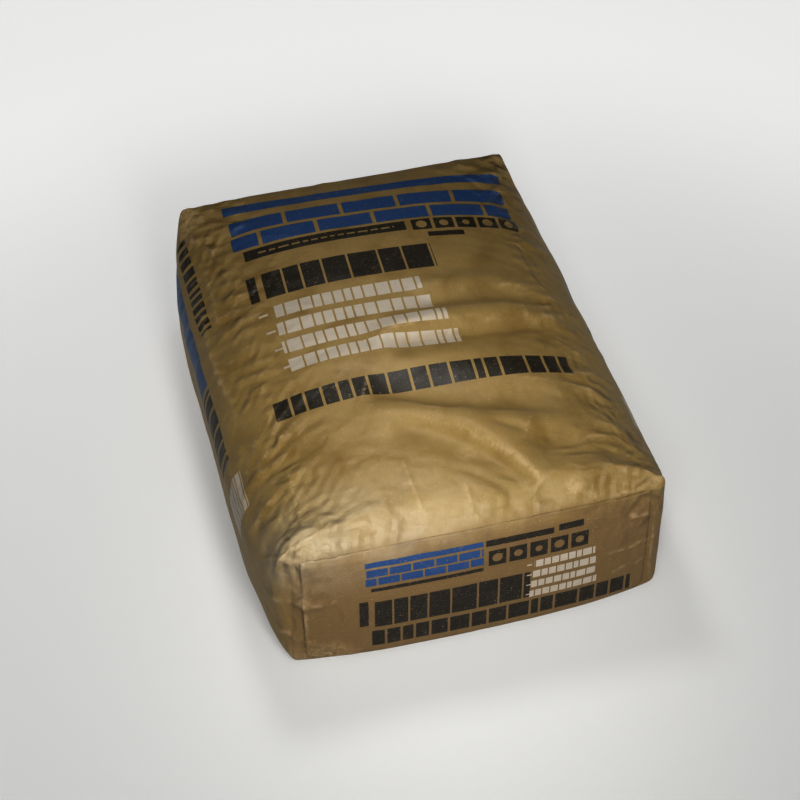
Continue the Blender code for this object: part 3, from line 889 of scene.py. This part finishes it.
def any_of(tree, masks):
    """The mask of what any of several masks covers."""
    total = masks[0]
    for mask in masks[1:]:
        total = add_node(tree, MATHS, (total, mask), operation="MAXIMUM")
    return total


def without(tree, mask, hole):
    """A mask with another cut out of it."""
    left = add_node(tree, MATHS, (1.0, hole), operation="SUBTRACT")
    return add_node(tree, MATHS, (mask, left), operation="MULTIPLY")


def broken_bar(tree, place, centre, size, spacing, gap, axis=0, shift=0.0):
    """The mask of a bar that is broken into blocks, sizes in mm."""
    parts = (oblong(tree, place, centre, size), blocks(tree, place, spacing, gap, axis, shift))
    return add_node(tree, MATHS, parts, operation="MULTIPLY")


def askew(tree, place, angle):
    """The paper's coordinates turned by an angle, because the print is set a little askew."""
    inputs = {"Vector": place, "Angle": angle}
    return add_node(tree, "ShaderNodeVectorRotate", inputs, rotation_type="Z_AXIS")


def punched_squares(tree, place, first, pitch, size, radius):
    """Masks of a row of squares, each with a round hole in one of three sizes, sizes in mm."""
    masks = []
    for number in range(SQUARES):
        centre = (first[0] + pitch * number, first[1])
        hole = disc(tree, place, centre, radius * (1 - HOLE_STEP * (number % 3)))
        masks.append(without(tree, oblong(tree, place, centre, size), hole))
    return masks


def top_print(tree, place):
    """Masks of the blue, black and white ink on the tube: the big face and both long sides."""
    face = askew(tree, place, TOP_TURN)
    limits = oblong(tree, face, (4, 153), (250, 38))
    courses = brick_course(tree, face, (-121, 134), (50, 19.2), 3.6)
    blue = [add_node(tree, MATHS, (limits, courses), operation="MULTIPLY"),
            oblong(tree, face, (4, 185), (252, 10))]
    dashes = broken_bar(tree, face, (-42, 126.5), (122, 2.0), 9, 2.6, shift=0.2)
    black = [without(tree, oblong(tree, face, (-42, 126.5), (142, 12)), dashes),
             broken_bar(tree, face, (-30, 84), (148, 31), 21, 2.0),
             oblong(tree, face, (-113, 84), (8, 31)),
             oblong(tree, face, (62, 112), (32, 6)),
             broken_bar(tree, face, (2, -60), (246, 21), 15, 2.4, shift=0.4)]
    black += punched_squares(tree, face, (43, 126), 20, (17, 14), 4.8)
    white = []
    for number in range(4):
        middle = (-38 + 3 * number, 50 - 22 * number)
        size = (126 + 6 * number, 15)
        white.append(broken_bar(tree, face, middle, size, 10, 1.6, shift=BLOCK_SHIFT * number))
        white.append(oblong(tree, face, (middle[0] - 72, middle[1]), (8, 2.4)))
    for side in (-1, 1):
        blue.append(oblong(tree, place, (side * 186, 100), (20, 150)))
        black.append(broken_bar(tree, place, (side * 188, -22), (24, 84), 17, 4, axis=1))
        white.append(broken_bar(tree, place, (side * 188, -104), (38, 40), 6, 1.2, shift=0.5))
    black.append(broken_bar(tree, place, (-160, 130), (14, 110), 11, 4, axis=1))
    return any_of(tree, blue), any_of(tree, black), any_of(tree, white)


def end_print(tree, place):
    """Masks of the blue, black and white ink on an end cover."""
    face = askew(tree, place, END_TURN)
    limits = oblong(tree, face, (-44, 91), (92, 17.5))
    courses = brick_course(tree, face, (-90, 82.2), (18, 8.8), 1.5)
    blue = [add_node(tree, MATHS, (limits, courses), operation="MULTIPLY"),
            oblong(tree, face, (-44, 104), (92, 5))]
    black = [oblong(tree, face, (-42, 78), (88, 3.6)),
             oblong(tree, face, (31, 103.5), (54, 6)),
             oblong(tree, face, (72, 105), (20, 6.5)),
             oblong(tree, face, (-92, 52), (7, 28)),
             broken_bar(tree, face, (-22, 50), (124, 29), 17, 1.6),
             broken_bar(tree, face, (20, 22.5), (212, 17), 14, 2.0, shift=0.4)]
    black += punched_squares(tree, face, (13, 88), 16.6, (14, 15.5), 4.2)
    white = []
    for number in range(4):
        height = 72 - 11.2 * number
        size = (50 + 2 * number, 7.4)
        white.append(broken_bar(tree, face, (68, height), size, 7, 1.0, shift=BLOCK_SHIFT * number))
        white.append(oblong(tree, face, (39, height), (4, 1.4)))
    return any_of(tree, blue), any_of(tree, black), any_of(tree, white)


def no_print(tree, place):
    """No ink at all."""
    return []


# Materials

# Kraft sack paper is brown wood pulp, drawn out on a wire and dried. The sack's own was pressed against a hot
# polished roll, so the eye sees a soft sheen. The covers' was not, so it looks duller and browner.
PAPER_IOR = 1.5
GLAZED = 0.5
UNGLAZED = 0.56
GLOSS_SPREAD = 0.05
RUBBED_DULLER = 0.3
INK_GLOSSIER = -0.05

# Kraft fibres are about 0.03 mm wide and 3 mm long. They are drawn 0.9 or 0.8 mm wide and 12 or 16 mm long so
# that they show as streaks, along the sack and level across its ends, as the paper ran through the machine.
LONG_FIBRES = (0.9 * MM, 12 * MM, 12 * MM)
LEVEL_FIBRES = (16 * MM, 0.8 * MM, 16 * MM)
FIBRE_RANGE = (0.42, 0.62, 0.0, 0.22)

# Clouds of thicker and thinner pulp, and pale flecks in it. Ink wears through where the flecks stand highest.
PULP_CLOUDS = 28 * MM
CLOUD_RANGE = (0.2, 0.6)
FLECKS = 1.3 * MM
FLECK_RANGE = (0.62, 0.74, 0.0, 0.4)
WORN_INK_RANGE = (0.66, 0.7)
INK_COVER = 0.94

# Pale specks about 1 mm across and 9 mm apart, where grit has scratched the paper
SPECK_SPACING = 9 * MM
SPECK_SIZE = 0.55 * MM
SPECK_SHARE = 0.75

# Paper that is rubbed pale on its crests, and darkened in its hollows with painted shade
RUBBED_GRAIN = 7 * MM
RUBBED_RANGE = (0.35, 0.62)
RUBBED_SHARE = 0.5
PAINTED_HOLLOW_SHADE = 0.3

# Cockle is the slight waviness of dried paper. Each relief has its height and its strength.
COCKLE = 6 * MM
COCKLE_RELIEF = (0.3 * MM, 0.25)
FIBRE_RELIEF = (0.1 * MM, 0.3)
FLECK_RELIEF = (0.1 * MM, 0.5)

# The ends' own shade starts below the roll, and reaches its full strength close to the end faces
ENDS_RANGE = (190 * MM, 210 * MM)
BELOW_ROLL_RANGE = (128 * MM, 98 * MM)

# Cement dust rubbed into the front roll, which is also a painted sheen there: a pale painted highlight. It
# lies in a patch four times as wide as it is deep. Its middle is given with the width squashed to the depth.
DUST_SHEEN_SQUASH = (0.25, 1.0, 1.0)
DUST_SHEEN_MIDDLE = (-45 * MM, -198 * MM, 132 * MM)
DUST_SHEEN_REACH = 72 * MM
DUST_SHEEN_SHARE = 0.4
DUST_SHEEN_GRAIN = 24 * MM
DUST_SHEEN_RANGE = (0.3, 0.62)
DUST_SHEEN_UNEVEN = 0.6


def at_ends(tree, solid):
    """The mask of the browner paper at both ends, which fades into the sack's own colour under the roll."""
    along, height = (add_node(tree, "ShaderNodeSeparateXYZ", (solid,), axis) for axis in (1, 2))
    along = add_node(tree, MATHS, (along,), operation="ABSOLUTE")
    end = add_node(tree, RANGE, (along, *ENDS_RANGE), interpolation_type=SMOOTH)
    below = add_node(tree, RANGE, (height, *BELOW_ROLL_RANGE), interpolation_type=SMOOTH)
    return add_node(tree, MATHS, (end, below), operation="MULTIPLY")


def dust_and_sheen_on_roll(tree, solid):
    """The mask of the cement dust on the front roll, which is also a painted sheen there, most of it on the
    left.
    """
    flat = add_node(tree, VECTORS, (solid, DUST_SHEEN_SQUASH), operation="MULTIPLY")
    away = add_node(tree, VECTORS, (flat, DUST_SHEEN_MIDDLE), "Value", operation="DISTANCE")
    share = add_node(tree, RANGE, (away, 0.0, DUST_SHEEN_REACH, DUST_SHEEN_SHARE, 0.0), interpolation_type=SMOOTH)
    rubbed = (grain(tree, solid, DUST_SHEEN_GRAIN, detail=5.0, roughness=0.6), *DUST_SHEEN_RANGE)
    rubbed = add_node(tree, RANGE, rubbed, interpolation_type=SMOOTH)
    rubbed = add_node(tree, MATHS, (rubbed, DUST_SHEEN_UNEVEN, 1 - DUST_SHEEN_UNEVEN), operation="MULTIPLY_ADD")
    return add_node(tree, MATHS, (share, rubbed), operation="MULTIPLY")


def paper_material(name, colours, base, shade, end_shade, ink_layers, roughness, fibre_size):
    """Kraft paper after handling: streaks of fibre, clouds, specks, rubbed crests and worn ink."""
    material = bpy.data.materials.new(name)
    material.use_nodes = True
    tree = material.node_tree
    shader = tree.nodes["Principled BSDF"]
    paper = add_node(tree, "ShaderNodeUVMap", uv_map="Paper")
    solid = add_node(tree, "ShaderNodeTexCoord", output="Object")
    crest, hollow, zone = (add_node(tree, "ShaderNodeAttribute", output="Fac", attribute_name=mark)
                           for mark in ("crest", "hollow", "crumple"))
    creases, worn_lines = fine_creases(tree, solid, zone)
    clouds = (grain(tree, solid, PULP_CLOUDS, detail=4.0), *CLOUD_RANGE)
    clouds = add_node(tree, RANGE, clouds, interpolation_type=SMOOTH)
    fibres = grain(tree, paper, fibre_size, detail=4.0, roughness=0.65)
    flecks = grain(tree, solid, FLECKS, detail=2.0, roughness=0.6)
    spread_out = add_node(tree, VECTORS, {0: solid, "Scale": 1 / SPECK_SPACING}, operation="SCALE")
    to_speck = add_node(tree, "ShaderNodeTexVoronoi", {"Vector": spread_out, "Scale": 1.0}, "Distance")
    speck = SPECK_SIZE / SPECK_SPACING
    specks = add_node(tree, RANGE, (to_speck, 0.5 * speck, speck, SPECK_SHARE, 0.0))
    darker = add_node(tree, RANGE, (fibres, *FIBRE_RANGE), interpolation_type=SMOOTH)
    pale = add_node(tree, RANGE, (flecks, *FLECK_RANGE), interpolation_type=SMOOTH)
    layers = [(clouds, shown(base))]
    if end_shade:
        layers.append((at_ends(tree, solid), shown(end_shade)))
    # The pale patch on the front roll is cement dust and a painted sheen
    layers += [(darker, shown(shade)), (pale, shown(colours.worn)), (specks, shown(colours.worn)),
               (dust_and_sheen_on_roll(tree, solid), shown(colours.dust_and_sheen))]
    ink = 0.0
    worn_through = add_node(tree, RANGE, (flecks, *WORN_INK_RANGE), interpolation_type=SMOOTH)
    for mark, mask in zip((colours.blue, colours.black, colours.white), ink_layers(tree, paper)):
        held = without(tree, mask, worn_through)
        layers.append((add_node(tree, MATHS, (held, INK_COVER), operation="MULTIPLY"), shown(mark)))
        ink = add_node(tree, MATHS, (ink, held), operation="MAXIMUM")
    rubbed = (grain(tree, solid, RUBBED_GRAIN), *RUBBED_RANGE)
    rubbed = add_node(tree, RANGE, rubbed, interpolation_type=SMOOTH)
    rubbed = add_node(tree, MATHS, (crest, rubbed), operation="MULTIPLY")
    rubbed = add_node(tree, MATHS, (rubbed, worn_lines), operation="MAXIMUM")
    rubbed = add_node(tree, MATHS, (rubbed, RUBBED_SHARE), operation="MULTIPLY")
    rubbed = add_node(tree, MATHS, (rubbed, scuffed(tree, solid)), operation="MAXIMUM")
    # The hollows are darkened with the paper's darker colour: painted shade
    hollow_shade = add_node(tree, MATHS, (hollow, PAINTED_HOLLOW_SHADE), operation="MULTIPLY")
    layers += [(rubbed, shown(colours.worn)), (hollow_shade, shown(shade))]
    colour = shown(shade)
    for share, over in layers:
        colour = add_node(tree, MIX, {0: share, MIX_A: colour, MIX_B: over}, MIX_RESULT, data_type="RGBA")
    gloss = (clouds, 0.0, 1.0, roughness - GLOSS_SPREAD, roughness + GLOSS_SPREAD)
    gloss = add_node(tree, RANGE, gloss)
    gloss = add_node(tree, MATHS, (rubbed, RUBBED_DULLER, gloss), operation="MULTIPLY_ADD")
    gloss = add_node(tree, MATHS, (ink, INK_GLOSSIER, gloss), operation="MULTIPLY_ADD")
    tree.links.new(colour, shader.inputs["Base Color"])
    tree.links.new(gloss, shader.inputs["Roughness"])
    shader.inputs["IOR"].default_value = PAPER_IOR
    normal = add_node(tree, BUMP, {"Height": creases, "Distance": 1.0})
    cockle = grain(tree, solid, COCKLE, detail=4.0)
    reliefs = ((cockle, *COCKLE_RELIEF), (fibres, *FIBRE_RELIEF), (flecks, *FLECK_RELIEF))
    for relief, height, strength in reliefs:
        inputs = {"Height": relief, "Distance": height, "Strength": strength, "Normal": normal}
        normal = add_node(tree, BUMP, inputs)
    tree.links.new(normal, shader.inputs["Normal"])
    return material


# Cement is a ground powder, poured in dry. The eye sees a matt grey with soft clods and no gloss. Its grains,
# 0.02 mm across, are too fine to show, so the pattern draws the clods that they cling together in.
CLODS = 4 * MM
CLOD_RANGE = (0.3, 0.7)
CLOD_HEIGHT = 0.6 * MM
CLOD_PALER = 1.25
POWDER_ROUGHNESS = (0.85, 1.0)


def cement_material(colours):
    """Dry cement powder, seen only where the sack is opened."""
    material = bpy.data.materials.new("cement_powder_poured")
    material.use_nodes = True
    tree = material.node_tree
    shader = tree.nodes["Principled BSDF"]
    solid = add_node(tree, "ShaderNodeTexCoord", output="Object")
    clods = grain(tree, solid, CLODS, detail=6.0, roughness=0.7)
    pale = tuple(min(part * CLOD_PALER, 1) for part in colours.cement)
    share = add_node(tree, RANGE, (clods, *CLOD_RANGE), interpolation_type=SMOOTH)
    inputs = {0: share, MIX_A: shown(colours.cement), MIX_B: shown(pale)}
    tree.links.new(add_node(tree, MIX, inputs, MIX_RESULT, data_type="RGBA"), shader.inputs["Base Color"])
    rough = add_node(tree, RANGE, (clods, 0.0, 1.0, *POWDER_ROUGHNESS))
    tree.links.new(rough, shader.inputs["Roughness"])
    relief = add_node(tree, BUMP, {"Height": clods, "Distance": CLOD_HEIGHT})
    tree.links.new(relief, shader.inputs["Normal"])
    return material


# Operators

class BAG_OT_sack(bpy.types.Operator):
    """Make the creased kraft paper sack"""

    bl_idname = "cement_bag.make_sack"
    bl_label = "Make Sack"

    def execute(self, context):
        """Builds the sack's skin and its printed, glazed paper."""
        sack = creased_sack(context.scene)
        marks = {"crest": sack.crest, "hollow": sack.hollow, "crumple": sack.crumple}
        piece = make_mesh("kraft_sack", sack.points, sack.quads, sack.coordinates, marks)
        colours = context.scene.bag_colours
        material = paper_material("kraft_paper_machine_glazed", colours, colours.kraft, colours.kraft_dark,
                                  colours.cover, top_print, GLAZED, LONG_FIBRES)
        stand_for(piece, "paper_sack", material)
        return {"FINISHED"}


# Reach of the covers and of the sleeve on an end face, as shares of its half width and half height
COVER_LEFT = -0.925
COVER_RIGHT = 0.925
COVER_BOTTOM = -0.95
COVER_TOP = 0.80
SLEEVE_SPAN = (0.34, 0.955)
SLEEVE_REACH = 0.68
STEP_ACROSS = 0.05
STEP_UP = 0.08

# Thicknesses, and how the covers' edges curl up from the paste
PASTE = 0.25 * MM
SLEEVE_PAPER = 0.35 * MM
EDGE_CURL = 0.2 * MM
CURL_WAVE = 14 * MM
CURL_SHARE = 0.2
CURL_REACH = 2.5 * MM
FILLING_CELLS = (36, 48, 16)
FILLING_CLEARANCE = 2 * MM


def end_patch(sack, end, span, bottom, top):
    """The lattice numbers of the part of an end face inside a span across and a span up."""
    face = sack.numbers[:, 0 if end < 0 else -1, :]
    across = sack.places[face[:, face.shape[1] // 2], 0]
    up = sack.places[face[face.shape[0] // 2], 2]
    columns = np.nonzero((across > span[0]) & (across < span[1]))[0]
    rows = np.nonzero((up > bottom) & (up < top))[0]
    return face[np.ix_(columns, rows)]


def pasted_sheet(name, sack, end, patch, lift, thickness):
    """A thin closed sheet that follows the skin at a height above it."""
    base = sack.points[patch]
    out = sack.normals[patch]
    inner = base + out * lift[..., None]
    outer = base + out * (lift + thickness)[..., None]
    count = patch.size
    places = np.arange(count).reshape(patch.shape)
    top = quads_of(places)
    edge = np.concatenate([places[:, 0], places[-1, 1:], places[-2::-1, -1], places[0, -2:0:-1]])
    after = np.roll(edge, -1)
    rim = np.stack([edge + count, after + count, after, edge], axis=-1)
    quads = np.concatenate([top, top[:, ::-1] + count, rim])
    if end > 0:
        quads = quads[:, ::-1]
    points = np.concatenate([outer.reshape(-1, 3), inner.reshape(-1, 3)])
    marks = {label: np.tile(values[patch].ravel(), 2) for label, values in
             (("crest", sack.crest), ("hollow", sack.hollow), ("crumple", sack.crumple))}
    coordinates = points[quads][:, :, [0, 2]] * (1 if end < 0 else -1, 1)
    return make_mesh(name, points, quads, coordinates.reshape(-1, 2), marks)


class BAG_OT_covers(bpy.types.Operator):
    """Paste the cover sheets over both block bottoms"""

    bl_idname = "cement_bag.make_covers"
    bl_label = "Make End Covers"

    def execute(self, context):
        """Builds both covers from the skin that they are pasted on."""
        sack = creased_sack(context.scene)
        bag = context.scene.bag_sizes
        colours = context.scene.bag_colours
        material = paper_material("kraft_paper_unglazed", colours, colours.kraft, colours.cover_dark,
                                  colours.cover, end_print, UNGLAZED, LEVEL_FIBRES)
        covers = ((-1, "front_cover_sheet", "front_end_cover"), (1, "rear_cover_sheet", "rear_end_cover"))
        for end, name, node in covers:
            patch = end_patch(sack, end, (COVER_LEFT, COVER_RIGHT), COVER_BOTTOM, COVER_TOP)
            places = sack.places[patch]
            lift = np.full(patch.shape, PASTE)
            if end > 0:
                over = step_up(places[..., 0], SLEEVE_SPAN[0] - STEP_ACROSS, SLEEVE_SPAN[0])
                over = over * step_up(SLEEVE_REACH + STEP_UP - np.abs(places[..., 2]), 0, STEP_UP)
                lift += over * (SLEEVE_PAPER + PASTE)
            edge = np.minimum(
                np.minimum(COVER_RIGHT - places[..., 0], places[..., 0] - COVER_LEFT) * bag.end_width,
                np.minimum(COVER_TOP - places[..., 2], places[..., 2] - COVER_BOTTOM) * bag.end_height) / 2
            wave = smooth_noise(sack.points[patch].reshape(-1, 3), CURL_WAVE).reshape(patch.shape)
            lift += EDGE_CURL * np.clip(wave + CURL_SHARE, 0, 1) * np.exp(-np.maximum(edge, 0) / CURL_REACH)
            piece = pasted_sheet(name, sack, end, patch, lift, bag.paper)
            stand_for(piece, node, material)
        return {"FINISHED"}


class BAG_OT_sleeve(bpy.types.Operator):
    """Lay the filling valve's sleeve under the rear cover"""

    bl_idname = "cement_bag.make_sleeve"
    bl_label = "Make Valve Sleeve"

    def execute(self, context):
        """Builds the flat sleeve from the skin under it."""
        sack = creased_sack(context.scene)
        colours = context.scene.bag_colours
        patch = end_patch(sack, 1, SLEEVE_SPAN, -SLEEVE_REACH, SLEEVE_REACH)
        lift = np.full(patch.shape, PASTE / 2)
        piece = pasted_sheet("valve_sleeve_flat", sack, 1, patch, lift, SLEEVE_PAPER)
        material = paper_material("kraft_paper_valve", colours, colours.cover, colours.kraft, None,
                                  no_print, UNGLAZED, LEVEL_FIBRES)
        stand_for(piece, "valve_sleeve", material)
        return {"FINISHED"}


class BAG_OT_filling(bpy.types.Operator):
    """Fill the sack with cement powder"""

    bl_idname = "cement_bag.make_filling"
    bl_label = "Make Filling"

    def execute(self, context):
        """Builds the powder's outer face, far enough in to clear the deepest crease."""
        bag = context.scene.bag_sizes
        places, _, quads = cube_grid(FILLING_CELLS)
        points = skin_points(bag, places, -DEEPEST_INWARD + FILLING_CLEARANCE)
        piece = make_mesh("cement_filling", points, quads)
        stand_for(piece, "cement_fill", cement_material(context.scene.bag_colours))
        return {"FINISHED"}


# The camera as it was fitted to the photo. Azimuth is measured from the front towards the right, elevation
# upward, both in degrees.
AIM = Vector((-0.0063, -0.0061, 0.0625))
CAMERA_AZIMUTH = -14.59
CAMERA_ELEVATION = 44.16
CAMERA_ROLL = -0.773
CAMERA_DISTANCE = 1.6797
LENS_MM = 90.0
SENSOR_MM = 36.0

# Each light: its name, what it is aimed at, its azimuth and elevation in degrees, its distance and its width
# in metres, the angle of its beam in degrees, and its power in watts
FRONT_TOP = Vector((-0.03, -0.12, 0.12))
FRONT_LOW = Vector((0, -0.1, 0.08))
LIGHTS = (
    ("key_softbox", FRONT_TOP, -7, 41, 0.75, 0.22, 74, 0.92),
    ("high_softbox", FRONT_TOP, -2, 70, 0.75, 0.22, 74, 0.19),
    ("back_softbox", FRONT_TOP, 178, 64, 0.75, 0.22, 74, 0.56),
    ("front_fill", FRONT_LOW, 2, 23, 1.5, 0.5, 180, 5.3),
    ("right_fill", AIM, 72, 12, 2.0, 0.9, 180, 0.8),
    ("rear_fill", AIM, 170, 10, 2.0, 0.9, 180, 0.9),
)
WORLD_COLOUR = "ffecd2"
WORLD_STRENGTH = 0.02

# Floor and backdrop: painted boards that glow a little. The floor glows less near the bag, which paints a
# soft shadow round it, so that the bag's own shadow shows there too and its lower parts stay dark.
PAINT = "a0a09e"
PAINT_GLOW = "ffffff"
PAINT_ROUGHNESS = 0.9
FLOOR_GLOW = 0.82
# The weaker glow round the bag, and the middle of that ring, paint a shadow on the floor
PAINTED_SHADOW_GLOW = 0.42
PAINTED_SHADOW_MIDDLE = (0.0, -0.22, 0.0)
GLOW_FROM = 0.15
GLOW_FULL = 0.85
FLOOR_RADIUS = 6.0
FLOOR_GAP = 0.2 * MM
BACKDROP_HEIGHT = 1.8
BACKDROP_GLOW = 0.35
ROUND_STEPS = 96

# Brings the light of the render to the photo's contrast
VIEW_GAMMA = 0.62


def direction(azimuth, elevation):
    """Unit vector from the object towards a place given by two angles in degrees."""
    turn = radians(azimuth)
    rise = radians(elevation)
    return Vector((sin(turn) * cos(rise), -cos(turn) * cos(rise), sin(rise)))


def looking_at(aim, azimuth, elevation, distance, roll=0.0):
    """Matrix of a camera or light that looks at a point from a place round it."""
    back = direction(azimuth, elevation)
    right = Vector((0, 0, 1)).cross(back).normalized()
    up = back.cross(right)
    tilt = radians(roll)
    turned_right = right * cos(tilt) + up * sin(tilt)
    turned_up = up * cos(tilt) - right * sin(tilt)
    axes = Matrix((turned_right, turned_up, back)).transposed().to_4x4()
    return Matrix.Translation(aim + back * distance) @ axes


def glowing_paint(name, strength):
    """Matt pale paint that gives off a little light, so that it stays even without a lamp on it."""
    paint = bpy.data.materials.new(name)
    paint.use_nodes = True
    shader = paint.node_tree.nodes["Principled BSDF"]
    shader.inputs["Base Color"].default_value = shown(linear(PAINT))
    shader.inputs["Roughness"].default_value = PAINT_ROUGHNESS
    shader.inputs["Emission Color"].default_value = shown(linear(PAINT_GLOW))
    shader.inputs["Emission Strength"].default_value = strength
    return paint


class BAG_OT_stage(bpy.types.Operator):
    """Set the floor, lights and camera"""

    bl_idname = "cement_bag.set_stage"
    bl_label = "Set Stage"

    def execute(self, context):
        """Sets the camera, softboxes over the bag, wide fill lights round it, a floor and a backdrop."""
        scene = context.scene
        camera = bpy.data.objects.new("camera", bpy.data.cameras.new("camera"))
        camera.data.lens = LENS_MM
        camera.data.sensor_width = SENSOR_MM
        place = (CAMERA_AZIMUTH, CAMERA_ELEVATION, CAMERA_DISTANCE, CAMERA_ROLL)
        camera.matrix_world = looking_at(AIM, *place)
        scene.collection.objects.link(camera)
        scene.camera = camera
        for name, aim, azimuth, elevation, distance, size, beam, power in LIGHTS:
            light = bpy.data.lights.new(name, "AREA")
            light.shape = "DISK"
            light.size = size
            light.spread = radians(beam)
            light.energy = power
            lamp = bpy.data.objects.new(name, light)
            lamp.matrix_world = looking_at(aim, azimuth, elevation, distance)
            scene.collection.objects.link(lamp)
        world = bpy.data.worlds.new("studio")
        world.use_nodes = True
        background = world.node_tree.nodes["Background"]
        background.inputs["Color"].default_value = shown(linear(WORLD_COLOUR))
        background.inputs["Strength"].default_value = WORLD_STRENGTH
        scene.world = world
        scene.view_settings.view_transform = "Standard"
        scene.view_settings.gamma = VIEW_GAMMA
        bpy.ops.mesh.primitive_circle_add(vertices=ROUND_STEPS, radius=FLOOR_RADIUS, fill_type="NGON")
        floor = context.object
        floor.name = "floor"
        floor.location.z = -FLOOR_GAP
        paint = glowing_paint("pale_floor_painted", FLOOR_GLOW)
        tree = paint.node_tree
        # The glow is dimmed round the bag, a painted shadow on the floor
        place = add_node(tree, "ShaderNodeTexCoord", output="Object")
        away = add_node(tree, VECTORS, (place, PAINTED_SHADOW_MIDDLE), "Value", operation="DISTANCE")
        reach = (away, GLOW_FROM, GLOW_FULL, PAINTED_SHADOW_GLOW, FLOOR_GLOW)
        glow = add_node(tree, RANGE, reach, interpolation_type=SMOOTH)
        tree.links.new(glow, tree.nodes["Principled BSDF"].inputs["Emission Strength"])
        floor.data.materials.append(paint)
        bpy.ops.mesh.primitive_cylinder_add(vertices=ROUND_STEPS, radius=FLOOR_RADIUS, depth=BACKDROP_HEIGHT,
                                            end_fill_type="NOTHING", location=(0, 0, BACKDROP_HEIGHT / 2))
        backdrop = context.object
        backdrop.name = "backdrop"
        backdrop.data.materials.append(glowing_paint("grey_backdrop_painted", BACKDROP_GLOW))
        return {"FINISHED"}


class BAG_PT_panel(bpy.types.Panel):
    """Lists the bag's pieces in the sidebar"""

    bl_label = "Cement Bag"
    bl_space_type = "VIEW_3D"
    bl_region_type = "UI"
    bl_category = "Cement Bag"

    def draw(self, context):
        """Draws the settings and a button for each group of pieces."""
        for settings in (context.scene.bag_sizes, context.scene.bag_creases, context.scene.bag_colours):
            for label in settings.__annotations__:
                self.layout.prop(settings, label)
        for operator in OPERATORS:
            self.layout.operator(operator.bl_idname)


OPERATORS = (BAG_OT_stage, BAG_OT_sack, BAG_OT_covers, BAG_OT_sleeve, BAG_OT_filling)
CLASSES = (BagSizes, CreaseSettings, PaperColours, *OPERATORS, BAG_PT_panel)


def register():
    """Registers the settings, the operators and the panel."""
    for item in CLASSES:
        bpy.utils.register_class(item)
    bpy.types.Scene.bag_sizes = PointerProperty(type=BagSizes)
    bpy.types.Scene.bag_creases = PointerProperty(type=CreaseSettings)
    bpy.types.Scene.bag_colours = PointerProperty(type=PaperColours)


def unregister():
    """Takes them away again."""
    del bpy.types.Scene.bag_colours
    del bpy.types.Scene.bag_creases
    del bpy.types.Scene.bag_sizes
    for item in reversed(CLASSES):
        bpy.utils.unregister_class(item)


def main():
    """Builds the stage and every piece."""
    register()
    bpy.ops.cement_bag.set_stage()
    bpy.ops.cement_bag.make_sack()
    bpy.ops.cement_bag.make_covers()
    bpy.ops.cement_bag.make_sleeve()
    bpy.ops.cement_bag.make_filling()


if __name__ == "__main__":
    main()
